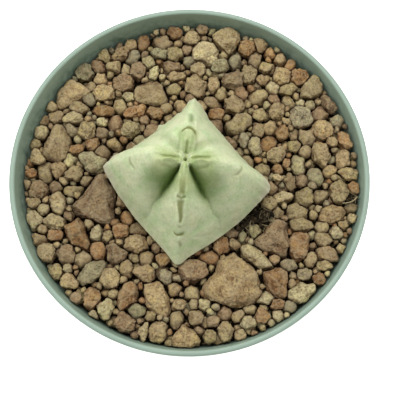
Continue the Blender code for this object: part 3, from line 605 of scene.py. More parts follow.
class Stone:
    """A worn stone: a centre, the flat sides round it and how round its edges are."""

    def __init__(self, name, centre, normals, distances, tone, rng):
        self.name = name
        self.centre = np.array(centre, float)
        self.normals = np.array(normals, float)
        self.distances = np.array(distances, float)
        self.tone = tone
        self.sharpness = rng.uniform(18.0, 44.0)
        self.shade = rng.uniform(0.0, 1.0)
        self.seed = random_vector(rng, 0, 90)
        self.fixed = False
        self.measure()

    def measure(self):
        self.reach = float(np.max(self.radius(PROBES)))

    def terms(self, directions):
        """How strongly each flat side draws the skin in along each direction."""
        lean = np.maximum(directions @ self.normals.T, 0.0) / self.distances
        return lean ** self.sharpness

    def radius(self, directions):
        """Distance of the skin from the centre along each direction."""
        return self.terms(directions).sum(axis=1) ** (-1.0 / self.sharpness)

    def reach_along(self, direction):
        """How far the stone stretches along a direction."""
        return float(np.max(self.radius(PROBES) * (PROBES @ direction)))

    def add_side(self, normal, distance):
        self.normals = np.vstack([self.normals, normal])
        self.distances = np.append(self.distances, distance)

    def outside(self, point):
        """How far a point lies outside the stone's nearest flat side, and that side."""
        off = self.normals @ (point - self.centre) - self.distances
        side = int(np.argmax(off))
        return float(off[side]), side


def solid_stone(node, tone, rng):
    """The flat sides of one of the frame's stones, read from a merged copy of its mesh."""
    bm = bmesh.new()
    bm.from_mesh(node.data)
    bmesh.ops.remove_doubles(bm, verts=bm.verts, dist=0.000001)
    points = np.array([tuple(v.co) for v in bm.verts]) / MM
    centre = (points.min(axis=0) + points.max(axis=0)) / 2
    sides = []
    for face in sorted(bm.faces, key=lambda f: -f.calc_area()):
        normal = np.array(face.normal)
        distance = float(normal @ (np.array(face.calc_center_median()) / MM - centre))
        if face.calc_area() / MM ** 2 < 0.02:
            continue
        if not any(normal @ n > 0.9995 and abs(distance - d) < 0.03 for n, d in sides):
            sides.append((normal, distance))
    bm.free()
    stone = Stone(node.name, centre, [n for n, d in sides], [d for n, d in sides], tone, rng)
    stone.fixed = True
    return stone


def worn_stone(name, spot, size, turn, top, tone, rng, corners=(6, 7, 8)):
    """A new stone of a given length, width and height: uneven sides, a shoulder over each and a flat top."""
    length, width, height = size
    count = rng.choice(corners)
    start = rng.uniform(0.0, math.tau)
    ring = []
    for index in range(count):
        a = start + math.tau * (index + rng.uniform(-0.28, 0.28)) / count
        cos, sin = math.cos(a), math.sin(a)
        reach = (abs(cos) ** SQUARENESS + abs(sin) ** SQUARENESS) ** (-1 / SQUARENESS)
        ring.append((reach * cos * length / 2, reach * sin * width / 2))
    ring = [turned(u, v, turn) for u, v in ring]
    normals, distances = [], []

    def add(normal, point):
        normal = np.array(normal) / np.linalg.norm(normal)
        normals.append(normal)
        distances.append(max(float(normal @ np.array(point)), 0.12 * width))

    half = height / 2
    for (ax, ay), (bx, by) in zip(ring, ring[1:] + ring[:1]):
        flat = math.hypot(bx - ax, by - ay)
        ox, oy = (by - ay) / flat, (ax - bx) / flat
        add((ox, oy, rng.uniform(-0.15, 0.15)), (ax, ay, 0.1 * height))
        inset = rng.uniform(0.06, 0.2) * width
        add((ox, oy, rng.uniform(0.6, 1.5)), (ax - ox * inset, ay - oy * inset, half))
        add((ox, oy, -rng.uniform(0.6, 1.2)), (ax - ox * 0.16 * width, ay - oy * 0.16 * width, -half))
    add((rng.uniform(-0.12, 0.12), rng.uniform(-0.12, 0.12), 1.0), (0.0, 0.0, half))
    add((0.0, 0.0, -1.0), (0.0, 0.0, -half))
    for index in range(3):
        a = math.tau * (index + rng.uniform(0.2, 0.8)) / 3
        lean, out = rng.uniform(0.15, 0.5), rng.uniform(0.05, 0.22) * width
        add((math.cos(a) * lean, math.sin(a) * lean, 1.0), (math.cos(a) * out, math.sin(a) * out, half))
    return Stone(name, (spot[0], spot[1], top - half), normals, distances, tone, rng)


def keep_apart(stone, other):
    """Cut a stone back so that it stays clear of another; False if too little of it would be left."""
    line = other.centre - stone.centre
    distance = float(np.linalg.norm(line))
    if distance > stone.reach + other.reach + GAP:
        return True
    off, side = other.outside(stone.centre)
    if off < LEAST_TO_STONE * stone.reach:
        return False
    line /= max(distance, 0.001)
    mine, theirs = stone.reach_along(line), other.reach_along(-line)
    overlap = (mine + theirs + GAP - distance) / 2
    if other.fixed or overlap > 0.5 * min(mine, theirs):
        stone.add_side(-other.normals[side], off - SIDE_GAP)
    elif overlap > 0:
        stone.add_side(line, mine - overlap)
        other.add_side(-line, theirs - overlap)
    return True


def keep_in_pot(stone):
    """Keep a stone inside the pot's wall; False if its centre is too close to the wall."""
    facing = math.atan2(stone.centre[1], stone.centre[0])
    for step in range(-3, 4):
        a = facing + 0.07 * step
        normal = np.array((math.cos(a), math.sin(a), -WALL_TAPER))
        length = float(np.linalg.norm(normal))
        wall = np.array((MOUTH_R * math.cos(a), MOUTH_R * math.sin(a), RIM_Z))
        distance = float(normal @ (wall - stone.centre)) / length - WALL_GAP
        if distance < LEAST_TO_WALL * stone.reach:
            return False
        if distance < stone.reach:
            stone.add_side(normal / length, distance)
    return True


def keep_off_skin(stone, skin):
    """Cut a stone back wherever the plant's skin would reach into it."""
    for _ in range(24):
        offset = skin - stone.centre
        far = np.linalg.norm(offset, axis=1)
        near = far < stone.reach + 0.6
        if not near.any():
            return True
        directions = offset[near] / np.maximum(far[near], 0.001)[:, None]
        room = far[near] - stone.radius(directions)
        worst = int(np.argmin(room))
        if room[worst] > GAP:
            return True
        distance = far[near][worst] - GAP - SKIN_MARGIN
        if distance < LEAST_TO_SKIN * stone.reach:
            return False
        stone.add_side(directions[worst], distance)
    return True


def skin_points():
    """Points of the plant's solid, its corners and the middles of its faces, in millimetres."""
    mesh = frame["nodes"]["whitesloanea_plant"].data
    points = [tuple(v.co) for v in mesh.vertices] + [tuple(p.center) for p in mesh.polygons]
    return np.array(points) / MM


def gather_stones(settings):
    """Every stone of the dressing: the frame's own, the middle-sized ones and the fill between them."""
    rng = random.Random(settings.seed)
    skin = skin_points()
    stones, grid = [], {}
    for name in sorted(n for n in frame["nodes"] if n.startswith("gravel_stone_")):
        node = frame["nodes"][name]
        tone = node.data.materials[0].name.split("gravel_")[1].split(".")[0]
        stones.append(solid_stone(node, tone, rng))
        remember(grid, stones[-1])
    for x, y, wide, deep, tone in MIDDLE_STONES:
        height = MIDDLE_HEIGHT / 2 * (wide + deep) * rng.uniform(0.9, 1.15)
        size = (MIDDLE_OVERSIZE * wide, MIDDLE_OVERSIZE * deep, height)
        top = gravel_level(x, y) + 0.1 + 0.07 * min(wide, deep) + rng.uniform(-0.5, 0.35)
        stone = worn_stone("middle", (x, y), size, rng.uniform(-0.3, 0.3), top, tone, rng)
        place_stone(stone, stones, grid, skin)
    largest, smallest = settings.fill_largest / MM, settings.fill_smallest / MM
    for depth, share, spots in FILL_LAYERS:
        fill_gaps(stones, grid, skin, depth, largest * share, smallest * share, spots, rng)
    return stones


def free_points(depth, count, rng):
    """Random points at a depth below the gravel's level, off the bare spots."""
    points = []
    while len(points) < count:
        out = (inner_radius(LEVEL_Z - depth) - 0.6) * math.sqrt(rng.random())
        angle = rng.uniform(0.0, math.tau)
        x, y = out * math.cos(angle), out * math.sin(angle)
        if not any(math.hypot(x - bx, y - by) < br for bx, by, br in BARE_SPOTS):
            points.append((x, y, gravel_level(x, y) - depth))
    return np.array(points)


def fill_gaps(stones, grid, skin, depth, largest, smallest, spots, rng):
    """Fill what is free at a depth below the gravel's level with stones, the widest gaps first."""
    points = free_points(depth, spots, rng)
    room = inner_radius(LEVEL_Z - depth) - np.hypot(points[:, 0], points[:, 1])

    def take_room(stone):
        """Note how little room a stone leaves at the points round it."""
        near = np.linalg.norm(points - stone.centre, axis=1) < stone.reach + largest + 1.0
        off = ((points[near] - stone.centre) @ stone.normals.T - stone.distances).max(axis=1)
        room[near] = np.minimum(room[near], off)

    # The distances to the skin are worked out for part of the points at a time, to save memory
    for part in np.array_split(np.arange(spots), max(1, spots // 1000)):
        far = np.linalg.norm(points[part][:, None, :] - skin[None, :, :], axis=2).min(axis=1)
        room[part] = np.minimum(room[part], far - GAP)
    for stone in stones:
        take_room(stone)
    for _ in range(spots):
        best = int(np.argmax(room))
        if room[best] < NARROWEST_GAP * smallest:
            break
        spot = points[best]
        size = min(FILL_OVERSIZE * room[best], largest) * rng.uniform(0.85, 1.05)
        length, width = 2 * size * rng.uniform(1.0, 1.5), 2 * size
        height = width * rng.uniform(0.75, 1.05)
        top = float(spot[2]) + depth * 0.5 + rng.uniform(-0.35, 0.55)
        stone = worn_stone("fill", spot, (length, width, height), rng.uniform(0.0, math.pi), top,
                           rng.choice(FILL_TONES), rng, corners=(5, 6, 7))
        if place_stone(stone, stones, grid, skin):
            take_room(stone)
        room[best] = 0.0


def cell_of(point):
    return int(point[0] // CELL), int(point[1] // CELL)


def remember(grid, stone):
    """File a stone under the grid cell that its centre lies in."""
    grid.setdefault(cell_of(stone.centre), []).append(stone)


def place_stone(stone, stones, grid, skin):
    """Set a new stone among the others; False if it doesn't find enough room."""
    column, row = cell_of(stone.centre)
    close = [other for i in range(column - 2, column + 3) for j in range(row - 2, row + 3)
             for other in grid.get((i, j), [])]
    before = stone.reach
    if not keep_in_pot(stone) or not keep_off_skin(stone, skin):
        return False
    if not all(keep_apart(stone, other) for other in close):
        return False
    stone.measure()
    if stone.reach < LEAST_REACH * before:
        return False
    stones.append(stone)
    remember(grid, stone)
    return True


def fineness(stone):
    """How often the ball of faces is divided that a stone is made from."""
    if stone.fixed:
        return 6 if stone.reach > 7.0 else 5
    if stone.name == "middle":
        return 4
    return 3 if stone.reach > 1.9 else 2


def shape_stone(bm, stone, layers):
    """Add a stone to a mesh: a ball of faces drawn in to its flat sides, then lumped, chipped and pitted."""
    made = bmesh.ops.create_icosphere(bm, subdivisions=fineness(stone), radius=1.0)["verts"]
    directions = np.array([tuple(v.co) for v in made])
    terms = stone.terms(directions)
    # How near each corner lies to an edge, for worn pale edges that are also a painted highlight
    wear = 1.0 - terms.max(axis=1) / terms.sum(axis=1)
    shade_layer, wear_layer, pit_layer = layers
    size = stone.reach
    chip_rate = 2.6 / min(max(size, 1.6), 4.5)
    chip, grain, pit = [min(share * size, most) for share, most in (CHIPS, GRAINS, PITS)]
    for vert, direction, r, w in zip(made, directions, stone.radius(directions), wear):
        spot = Vector(direction * r)
        lumps = noise.noise(spot * (1.7 / size) + stone.seed)
        chips = 0.45 - noise.voronoi(spot * chip_rate + stone.seed)[0][0]
        grains = noise.fractal(spot * 1.5 + stone.seed, 0.7, 2.4, 3)
        pits = max(0.0, noise.noise(spot * 1.9 + stone.seed * 2.0) - 0.15)
        move = LUMPS * size * lumps + chip * chips + grain * grains
        r = r * 1.01 + max(move - pit * pits, -0.32 * r)
        vert.co = Vector(stone.centre + direction * r)
        vert[shade_layer] = stone.shade
        vert[wear_layer] = float(w)
        vert[pit_layer] = min(1.0, 3.0 * pits)


def stones_mesh(stones):
    """One mesh of some stones, with what their finish needs to know at each corner."""
    bm = bmesh.new()
    layers = [bm.verts.layers.float.new(name) for name in ("shade", "wear", "pit")]
    for stone in stones:
        shape_stone(bm, stone, layers)
    # Dust settles on what faces up; the same value paints light on the tops and shade on the flanks
    dust = bm.verts.layers.float.new("dust")
    bm.normal_update()
    for vert in bm.verts:
        vert[dust] = max(0.0, vert.normal.z)
    return bm


def stone_material(tone, colour):
    """Porous volcanic and fired-clay grit: grainy, pitted, patched with ochre and rust, with fine powder
    settled on top; painted light on the tops, painted shade on the flanks and in the pits.
    """
    material, tree, shader, place = new_material(tone + "_grit_stone")
    shade, wear, pit, dust = [add_node(tree, "Attribute", attribute_name=name).outputs["Fac"]
                              for name in ("shade", "wear", "pit", "dust")]
    # Patches of weathering about 3 mm across, grains of 0.7 mm and dark specks of 0.4 mm, which are pores
    # painted dark as painted shade
    patches = add_node(tree, "TexNoise", {"Vector": place, "Scale": 330.0, "Detail": 3.0, "Roughness": 0.6})
    grains = add_node(tree, "TexNoise", {"Vector": place, "Scale": 1400.0, "Detail": 4.0, "Roughness": 0.75})
    specks = add_node(tree, "TexVoronoi", {"Vector": place, "Scale": 1300.0})
    # Each stone has its own lightness and leans to rust or to ochre
    light = add_node(tree, "MapRange", {"Value": shade, "To Min": 0.76, "To Max": 1.18})
    lean = add_node(tree, "Math", {0: shade, 1: 7.3}, operation="MULTIPLY")
    turn = add_node(tree, "Math", {0: lean}, operation="FRACT")
    hue = add_node(tree, "ValToRGB", {"Fac": turn},
                   stops=((0.0, (1.05, 0.97, 0.89)), (0.45, (1.0, 1.0, 0.98)), (1.0, (0.98, 1.01, 0.9))))
    weather = add_node(tree, "ValToRGB", {"Fac": patches},
                       stops=((0.30, (0.70, 0.62, 0.55)), (0.5, grey(1.0)), (0.68, (1.14, 1.14, 0.96))))
    # Faces that look up are bleached and dusty and painted lighter, as painted light; the flanks are painted
    # darker and redder, as painted shade
    facing = add_node(tree, "ValToRGB", {"Fac": dust},
                      stops=((0.0, (0.66, 0.56, 0.46)), (0.55, (0.9, 0.86, 0.8)), (0.95, (1.2, 1.2, 1.08))))
    grainy = add_node(tree, "MapRange", {"Value": grains, "From Min": 0.3, "From Max": 0.7, "To Min": 0.6,
                                         "To Max": 1.4})
    body = colour[:3]
    for factor in (hue, light, weather, facing, grainy):
        body = add_node(tree, "VectorMath", {0: body, 1: factor}, operation="MULTIPLY")
    rust_spots = add_node(tree, "TexNoise", {"Vector": place, "Scale": 700.0, "Detail": 2.0})
    rust = add_node(tree, "MapRange", {"Value": rust_spots, "From Min": 0.6, "From Max": 0.72,
                                       "To Max": 0.45})
    body = add_node(tree, "Mix", {FACTOR: rust, UNDER: body, OVER: linear("#8E5B3C")}, data_type="RGBA")
    # Painted shade: the pores and the pits are painted darker
    dark = add_node(tree, "MapRange", {"Value": specks, "From Min": 0.12, "From Max": 0.32, "To Min": 0.55,
                                       "To Max": 1.0})
    hollow = add_node(tree, "MapRange", {"Value": pit, "To Min": 1.0, "To Max": 0.55})
    for factor in (dark, hollow):
        body = add_node(tree, "VectorMath", {0: body, 1: factor}, operation="MULTIPLY")
    # Pale edges: wear, and a painted highlight along them
    rubbed = add_node(tree, "MapRange", {"Value": wear, "From Min": 0.1, "From Max": 0.6, "To Max": 0.35})
    body = add_node(tree, "Mix", {FACTOR: rubbed, UNDER: body, OVER: linear("#C4B38E")}, data_type="RGBA")
    coarse = add_node(tree, "Bump", {"Height": grains, "Strength": 1.0, "Distance": 0.5 * MM})
    pitted = add_node(tree, "Bump", {"Height": specks, "Strength": 0.5, "Distance": 0.25 * MM,
                                     "Normal": coarse})
    feed(shader, {"Base Color": body, "Normal": pitted, "Roughness": 0.92, "Specular IOR Level": 0.25})
    return material


class WHITESLOANEA_OT_gravel(bpy.types.Operator):
    """Make the gravel dressing: the large stones one by one, the smaller ones in one piece for each tone"""
    bl_idname = "whitesloanea.gravel"
    bl_label = "Make gravel"

    def execute(self, context):
        settings = context.scene.whitesloanea_gravel
        materials = {tone: stone_material(tone, getattr(settings, tone)) for tone in TONES}
        stones = gather_stones(settings)
        for stone in (s for s in stones if s.fixed):
            name = stone.name.replace("gravel_stone", "worn_stone")
            piece = finish_mesh(name, stones_mesh([stone]), materials[stone.tone])
            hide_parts(stone.name)
        small = []
        for tone in TONES:
            bm = stones_mesh([s for s in stones if s.tone == tone and not s.fixed])
            piece = finish_mesh("small_stones_" + tone, bm, materials[tone])
            small.append(piece)
        for piece in small + [bpy.data.objects["grit_base"]]:
            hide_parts("gravel_bed")
        return {"FINISHED"}


# ---------------------------------------------------------------- litter

def litter_material(name, dark, pale, pattern):
    """Scraps of bark and soil: matt, each scrap with its own tone between a dark and a pale one."""
    material, tree, shader, place = new_material(name)
    tone = add_node(tree, "Attribute", attribute_name="shade").outputs["Fac"]
    flecks = add_node(tree, "TexNoise", {"Vector": place, "Scale": 1.0 / pattern, "Detail": 3.0})
    own = add_node(tree, "Mix", {FACTOR: tone, UNDER: linear(dark), OVER: linear(pale)}, data_type="RGBA")
    flecked = add_node(tree, "MapRange", {"Value": flecks, "From Min": 0.3, "From Max": 0.7, "To Min": 0.6,
                                          "To Max": 1.3})
    colour = add_node(tree, "VectorMath", {0: own, 1: flecked}, operation="MULTIPLY")
    bump = add_node(tree, "Bump", {"Height": flecks, "Strength": 0.7, "Distance": 0.2 * MM})
    feed(shader, {"Base Color": colour, "Normal": bump, "Roughness": 0.95, "Specular IOR Level": 0.2})
    return material


class WHITESLOANEA_OT_litter(bpy.types.Operator):
    """Scatter soil crumbs and bark fibres where the stones leave the soil open"""
    bl_idname = "whitesloanea.litter"
    bl_label = "Scatter litter"

    def execute(self, context):
        settings = context.scene.whitesloanea_litter
        rng = random.Random(settings.seed)
        crumbs = bmesh.new()
        fibres = bmesh.new()
        crumb_shade = crumbs.verts.layers.float.new("shade")
        fibre_shade = fibres.verts.layers.float.new("shade")
        for x, y, radius in BARE_SPOTS:
            for _ in range(int(settings.crumbs * radius ** 2)):
                self.add_crumb(crumbs, crumb_shade, self.spot_near(x, y, radius, rng), rng)
            for _ in range(int(settings.fibres * radius ** 2)):
                spot = self.spot_near(x, y, radius, rng) + Vector((0.0, 0.0, 0.9))
                self.add_fibre(fibres, fibre_shade, spot, rng.uniform(1.5, 4.5), rng.uniform(0.05, 0.09),
                               rng.uniform(0.0, math.pi), rng.random() ** 2, rng)
        # One long pale straw leans on the wall
        self.add_fibre(fibres, fibre_shade, Vector((49.2, -8.6, gravel_level(49, -8) + 1.0)), 5.0, 0.16,
                       math.radians(24.0), 1.0, rng)
        for name, bm, dark, pale in (("soil_crumbs", crumbs, "#1E1810", "#5C4C34"),
                                     ("bark_fibres", fibres, "#2C241A", "#B3A47E")):
            bmesh.ops.recalc_face_normals(bm, faces=bm.faces)
            piece = finish_mesh(name, bm, litter_material(name.replace("_", "_dry_"), dark, pale, 0.5 * MM))
            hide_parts("gravel_bed")
        return {"FINISHED"}

    def spot_near(self, x, y, radius, rng):
        """A random place on the open soil."""
        out = radius * 1.15 * math.sqrt(rng.random())
        a = rng.uniform(0.0, math.tau)
        px, py = x + out * math.cos(a), y + out * math.sin(a)
        keep = min(1.0, (inner_radius(RIM_Z - 5.0) - 1.0) / math.hypot(px, py))
        return Vector((px * keep, py * keep, gravel_level(px, py) - rng.uniform(1.2, 2.6)))

    def add_crumb(self, bm, layer, spot, rng):
        made = bmesh.ops.create_icosphere(bm, subdivisions=2, radius=rng.uniform(0.25, 0.8))["verts"]
        seed = random_vector(rng, 0, 90)
        shade = rng.random() ** 3
        for vert in made:
            vert.co = spot + vert.co * (1.0 + 0.7 * noise.noise(vert.co * 1.6 + seed))
            vert[layer] = shade

    def add_fibre(self, bm, layer, spot, length, thickness, turn, shade, rng):
        """A thin strip, cut crosswise and bowed sideways and down at its ends."""
        made = list(bmesh.ops.create_grid(bm, x_segments=1, y_segments=1, size=0.5)["verts"])
        bmesh.ops.scale(bm, vec=(2.0 * thickness, 1.6 * thickness, 1.0), verts=made)
        bmesh.ops.rotate(bm, matrix=Matrix.Rotation(math.pi / 2, 3, "Y"), verts=made)
        bmesh.ops.translate(bm, vec=(-length / 2, 0.0, 0.0), verts=made)
        end = made[0].link_faces[0]
        for step in range(6):
            grown = bmesh.ops.extrude_face_region(bm, geom=[end])["geom"]
            if step:
                bm.faces.remove(end)
            tip = [item for item in grown if isinstance(item, bmesh.types.BMVert)]
            end = next(item for item in grown if isinstance(item, bmesh.types.BMFace))
            bmesh.ops.translate(bm, vec=(length / 6, 0.0, 0.0), verts=tip)
            made += tip
        bow, sag = rng.uniform(-0.14, 0.14), rng.uniform(0.0, 0.1)
        for vert in made:
            x, y, z = vert.co
            vert.co = spot + Vector((*turned(x, y + bow * x * x, turn), z - sag * x * x))
            vert[layer] = shade


# ---------------------------------------------------------------- plant

def smooth_curve(points, x):
    """Values at x of a smooth curve through a few points, flat-sided where they turn."""
    xs, ys = np.array(points, float).T
    slopes = np.diff(ys) / np.diff(xs)
    product = slopes[:-1] * slopes[1:]
    inner = np.where(product > 0, 2 * product / np.where(product > 0, slopes[:-1] + slopes[1:], 1.0), 0.0)
    tangents = np.concatenate(([slopes[0]], inner, [slopes[-1]]))
    i = np.clip(np.searchsorted(xs, x) - 1, 0, len(slopes) - 1)
    width = xs[i + 1] - xs[i]
    t = (x - xs[i]) / width
    return ((1 + 2 * t) * (1 - t) ** 2 * ys[i] + t * (1 - t) ** 2 * width * tangents[i]
            + t * t * (3 - 2 * t) * ys[i + 1] + t * t * (t - 1) * width * tangents[i + 1])


def turn_between(a, b):
    """Signed turn from a to b in degrees."""
    return (b - a + 180.0) % 360.0 - 180.0


def soft_step(x, start, end):
    t = np.clip((x - start) / (end - start), 0.0, 1.0)
    return t * t * (3 - 2 * t)


def between(x, start, end, soft):
    """1 from start to end, falling to 0 over a soft margin on both sides."""
    return soft_step(x, start - soft, start + soft) * (1.0 - soft_step(x, end - soft, end + soft))


def hump(x, middle, width):
    return np.exp(-((x - middle) / width) ** 2)


def corner_blend(angle, column):
    """A lobe's value from the LOBES table, blended evenly between neighbouring corners."""
    total, weight = 0.0, 0.0
    for lobe in LOBES:
        share = soft_step(1.0 - np.abs(turn_between(lobe[0], angle)) / 90.0, 0.0, 1.0)
        total = total + share * lobe[column]
        weight = weight + share
    return total / weight


def outline_radius(angle):
    """Radius of the plant's four-cornered outline in a direction, in degrees."""
    off = np.min([np.abs(turn_between(lobe[0], angle)) for lobe in LOBES], axis=0)
    c = np.cos(np.radians(off))
    s = np.sqrt(np.sin(np.radians(off)) ** 2 + CORNER_ROUNDING ** 2)
    first, share = OUTLINE_SHARES[0]
    closed = OUTLINE_SHARES + ((first + 360, share),)
    shares = smooth_curve(closed, (angle - first) % 360.0 + first)
    return corner_blend(angle, 1) / (c + s) * (1.0 + CORNER_ROUNDING) * shares


def corner_nearness(angle):
    """1 at the two side corners and the back one, falling to 0 along the edges."""
    turns = [np.abs(turn_between(LOBES[i][0], angle)) for i in (EAST, NORTH, WEST)]
    return hump(np.min(turns, axis=0), 0.0, 14.0)


def lobe_rise(angle, inward):
    """0 in a crease and 1 on a ridge; the turn from each ridge; 1 on it to 0 at the lobe's creases."""
    total = np.zeros_like(angle)
    angle = angle + KINK * np.sin(KINK_RATE * inward) * (1.0 - inward)
    turns, owned = [], []
    for index, lobe in enumerate(LOBES):
        ridge = lobe[0] + lobe[3] * inward
        before, after = CREASES[index - 1], CREASES[index]
        turn = turn_between(ridge, angle)
        span = np.where(turn >= 0, turn_between(ridge, after[0]), turn_between(before[0], ridge))
        share = 1.0 - np.abs(turn) / span
        ease = np.where(turn >= 0, after[1], before[2])
        total += np.where(share > 0, np.sin(0.5 * np.pi * np.clip(share, 0.0, 1.0)) ** ease, 0.0)
        turns.append(turn)
        owned.append(np.clip(share, 0.0, 1.0))
    return np.clip(total, 0.0, 1.0), turns, owned


def crease_height(angle, station):
    """Height of the crease that is nearest to a direction."""
    turns = [np.abs(turn_between(crease[0], angle)) for crease in CREASES]
    deep = np.array([crease[3] for crease in CREASES])[np.argmin(turns, axis=0)]
    return np.where(deep, smooth_curve(CREASE, station), smooth_curve(BACK_CREASE, station))


def plant_surface(station, angle):
    """The skin in millimetres and what its finish needs, for stations from the growing point (0) over
    the edge (1) and the underside (2) to the root (3)."""
    top = np.clip(station, 0.0, 1.0)
    outline = outline_radius(angle)
    inward = 1.0 - top
    rise, turns, owned = lobe_rise(angle, inward)
    ridge = np.where(owned[SOUTH] > 0, smooth_curve(FRONT_RIDGE, top), smooth_curve(RIDGE, top))
    crease = crease_height(angle, top)
    z = LEVEL_Z + crease + (ridge - crease) * rise + (corner_blend(angle, 2) - RIDGE[-1][1]) * top ** 3
    radius = top * outline

    along = radius * np.cos(np.radians(turns))
    across = radius * np.sin(np.radians(turns))
    z, strap = raise_straps(z, along, across)
    z_detail, marks, young, bloom = skin_detail(radius, along, across, owned, rise, strap, angle)
    radius = radius + edge_detail(angle, top)
    z = z + z_detail

    under = np.clip(station - 1.0, 0.0, 1.0)
    rows = np.linspace(0.0, 1.0, len(FLANK))
    share, extra, drop = [smooth_curve(list(zip(rows, column)), under) for column in zip(*FLANK)]
    root = np.clip(station - 2.0, 0.0, 1.0)
    rows = np.linspace(0.0, 1.0, len(NECK) + 1)[1:]
    neck_r, neck_z = [np.interp(root, rows, column) for column in zip(*NECK)]
    first = soft_step(root, 0.0, rows[0])
    last_share, last_extra, last_drop = FLANK[-1]
    neck_r = (last_share * outline + last_extra) * (1 - first) + neck_r * first
    neck_z = (z + last_drop) * (1 - first) + neck_z * first
    radius = np.where(station <= 1.0, radius, np.where(station <= 2.0, share * outline + extra, neck_r))
    z = np.where(station <= 1.0, z, np.where(station <= 2.0, z + drop, neck_z))
    a = np.radians(angle)
    points = np.stack([PLANT_X + radius * np.cos(a), PLANT_Y + radius * np.sin(a), z], axis=1)
    return points, marks, young, bloom


def edge_detail(angle, top):
    """Blunt teeth near the corners and a small spur, as an extra radius along the edge."""
    teeth = np.array([noise.noise(Vector((math.cos(a) * TOOTH_RATE, math.sin(a) * TOOTH_RATE, 3.0)))
                      for a in np.radians(angle)])
    spur = hump(turn_between(SPUR[0], angle), 0.0, SPUR[1]) * SPUR[2]
    return (TOOTH_HEIGHT * teeth * (0.25 + corner_nearness(angle)) + spur) * top ** 10


def raise_straps(z, along, across):
    """Lift the young growth round the growing point, and tell how much of it there is at each spot."""
    total = np.zeros_like(z)
    for index, start, end, half, height, slope in STRAPS:
        s, u = along[index], np.abs(across[index])
        strap = between(s, start, end, 0.3) * (1.0 - soft_step(u, half - 0.3, half + 0.35))
        level = LEVEL_Z + height + slope * np.clip(s - start, 0.0, 6.0) - 0.25 * (u / half) ** 2
        z = z + np.maximum(level - z, 0.0) * strap
        total = np.maximum(total, strap)
    # The straps close up round a pit that is only 1 mm wide
    radius = np.hypot(along[NORTH], across[NORTH])
    collar = 1.0 - soft_step(radius, 0.9, 1.7)
    level = LEVEL_Z + 22.25 - 1.7 * hump(radius, 0.0, 0.42)
    z = z + np.maximum(level - z, 0.0) * collar
    return z, np.maximum(total, 0.7 * collar)


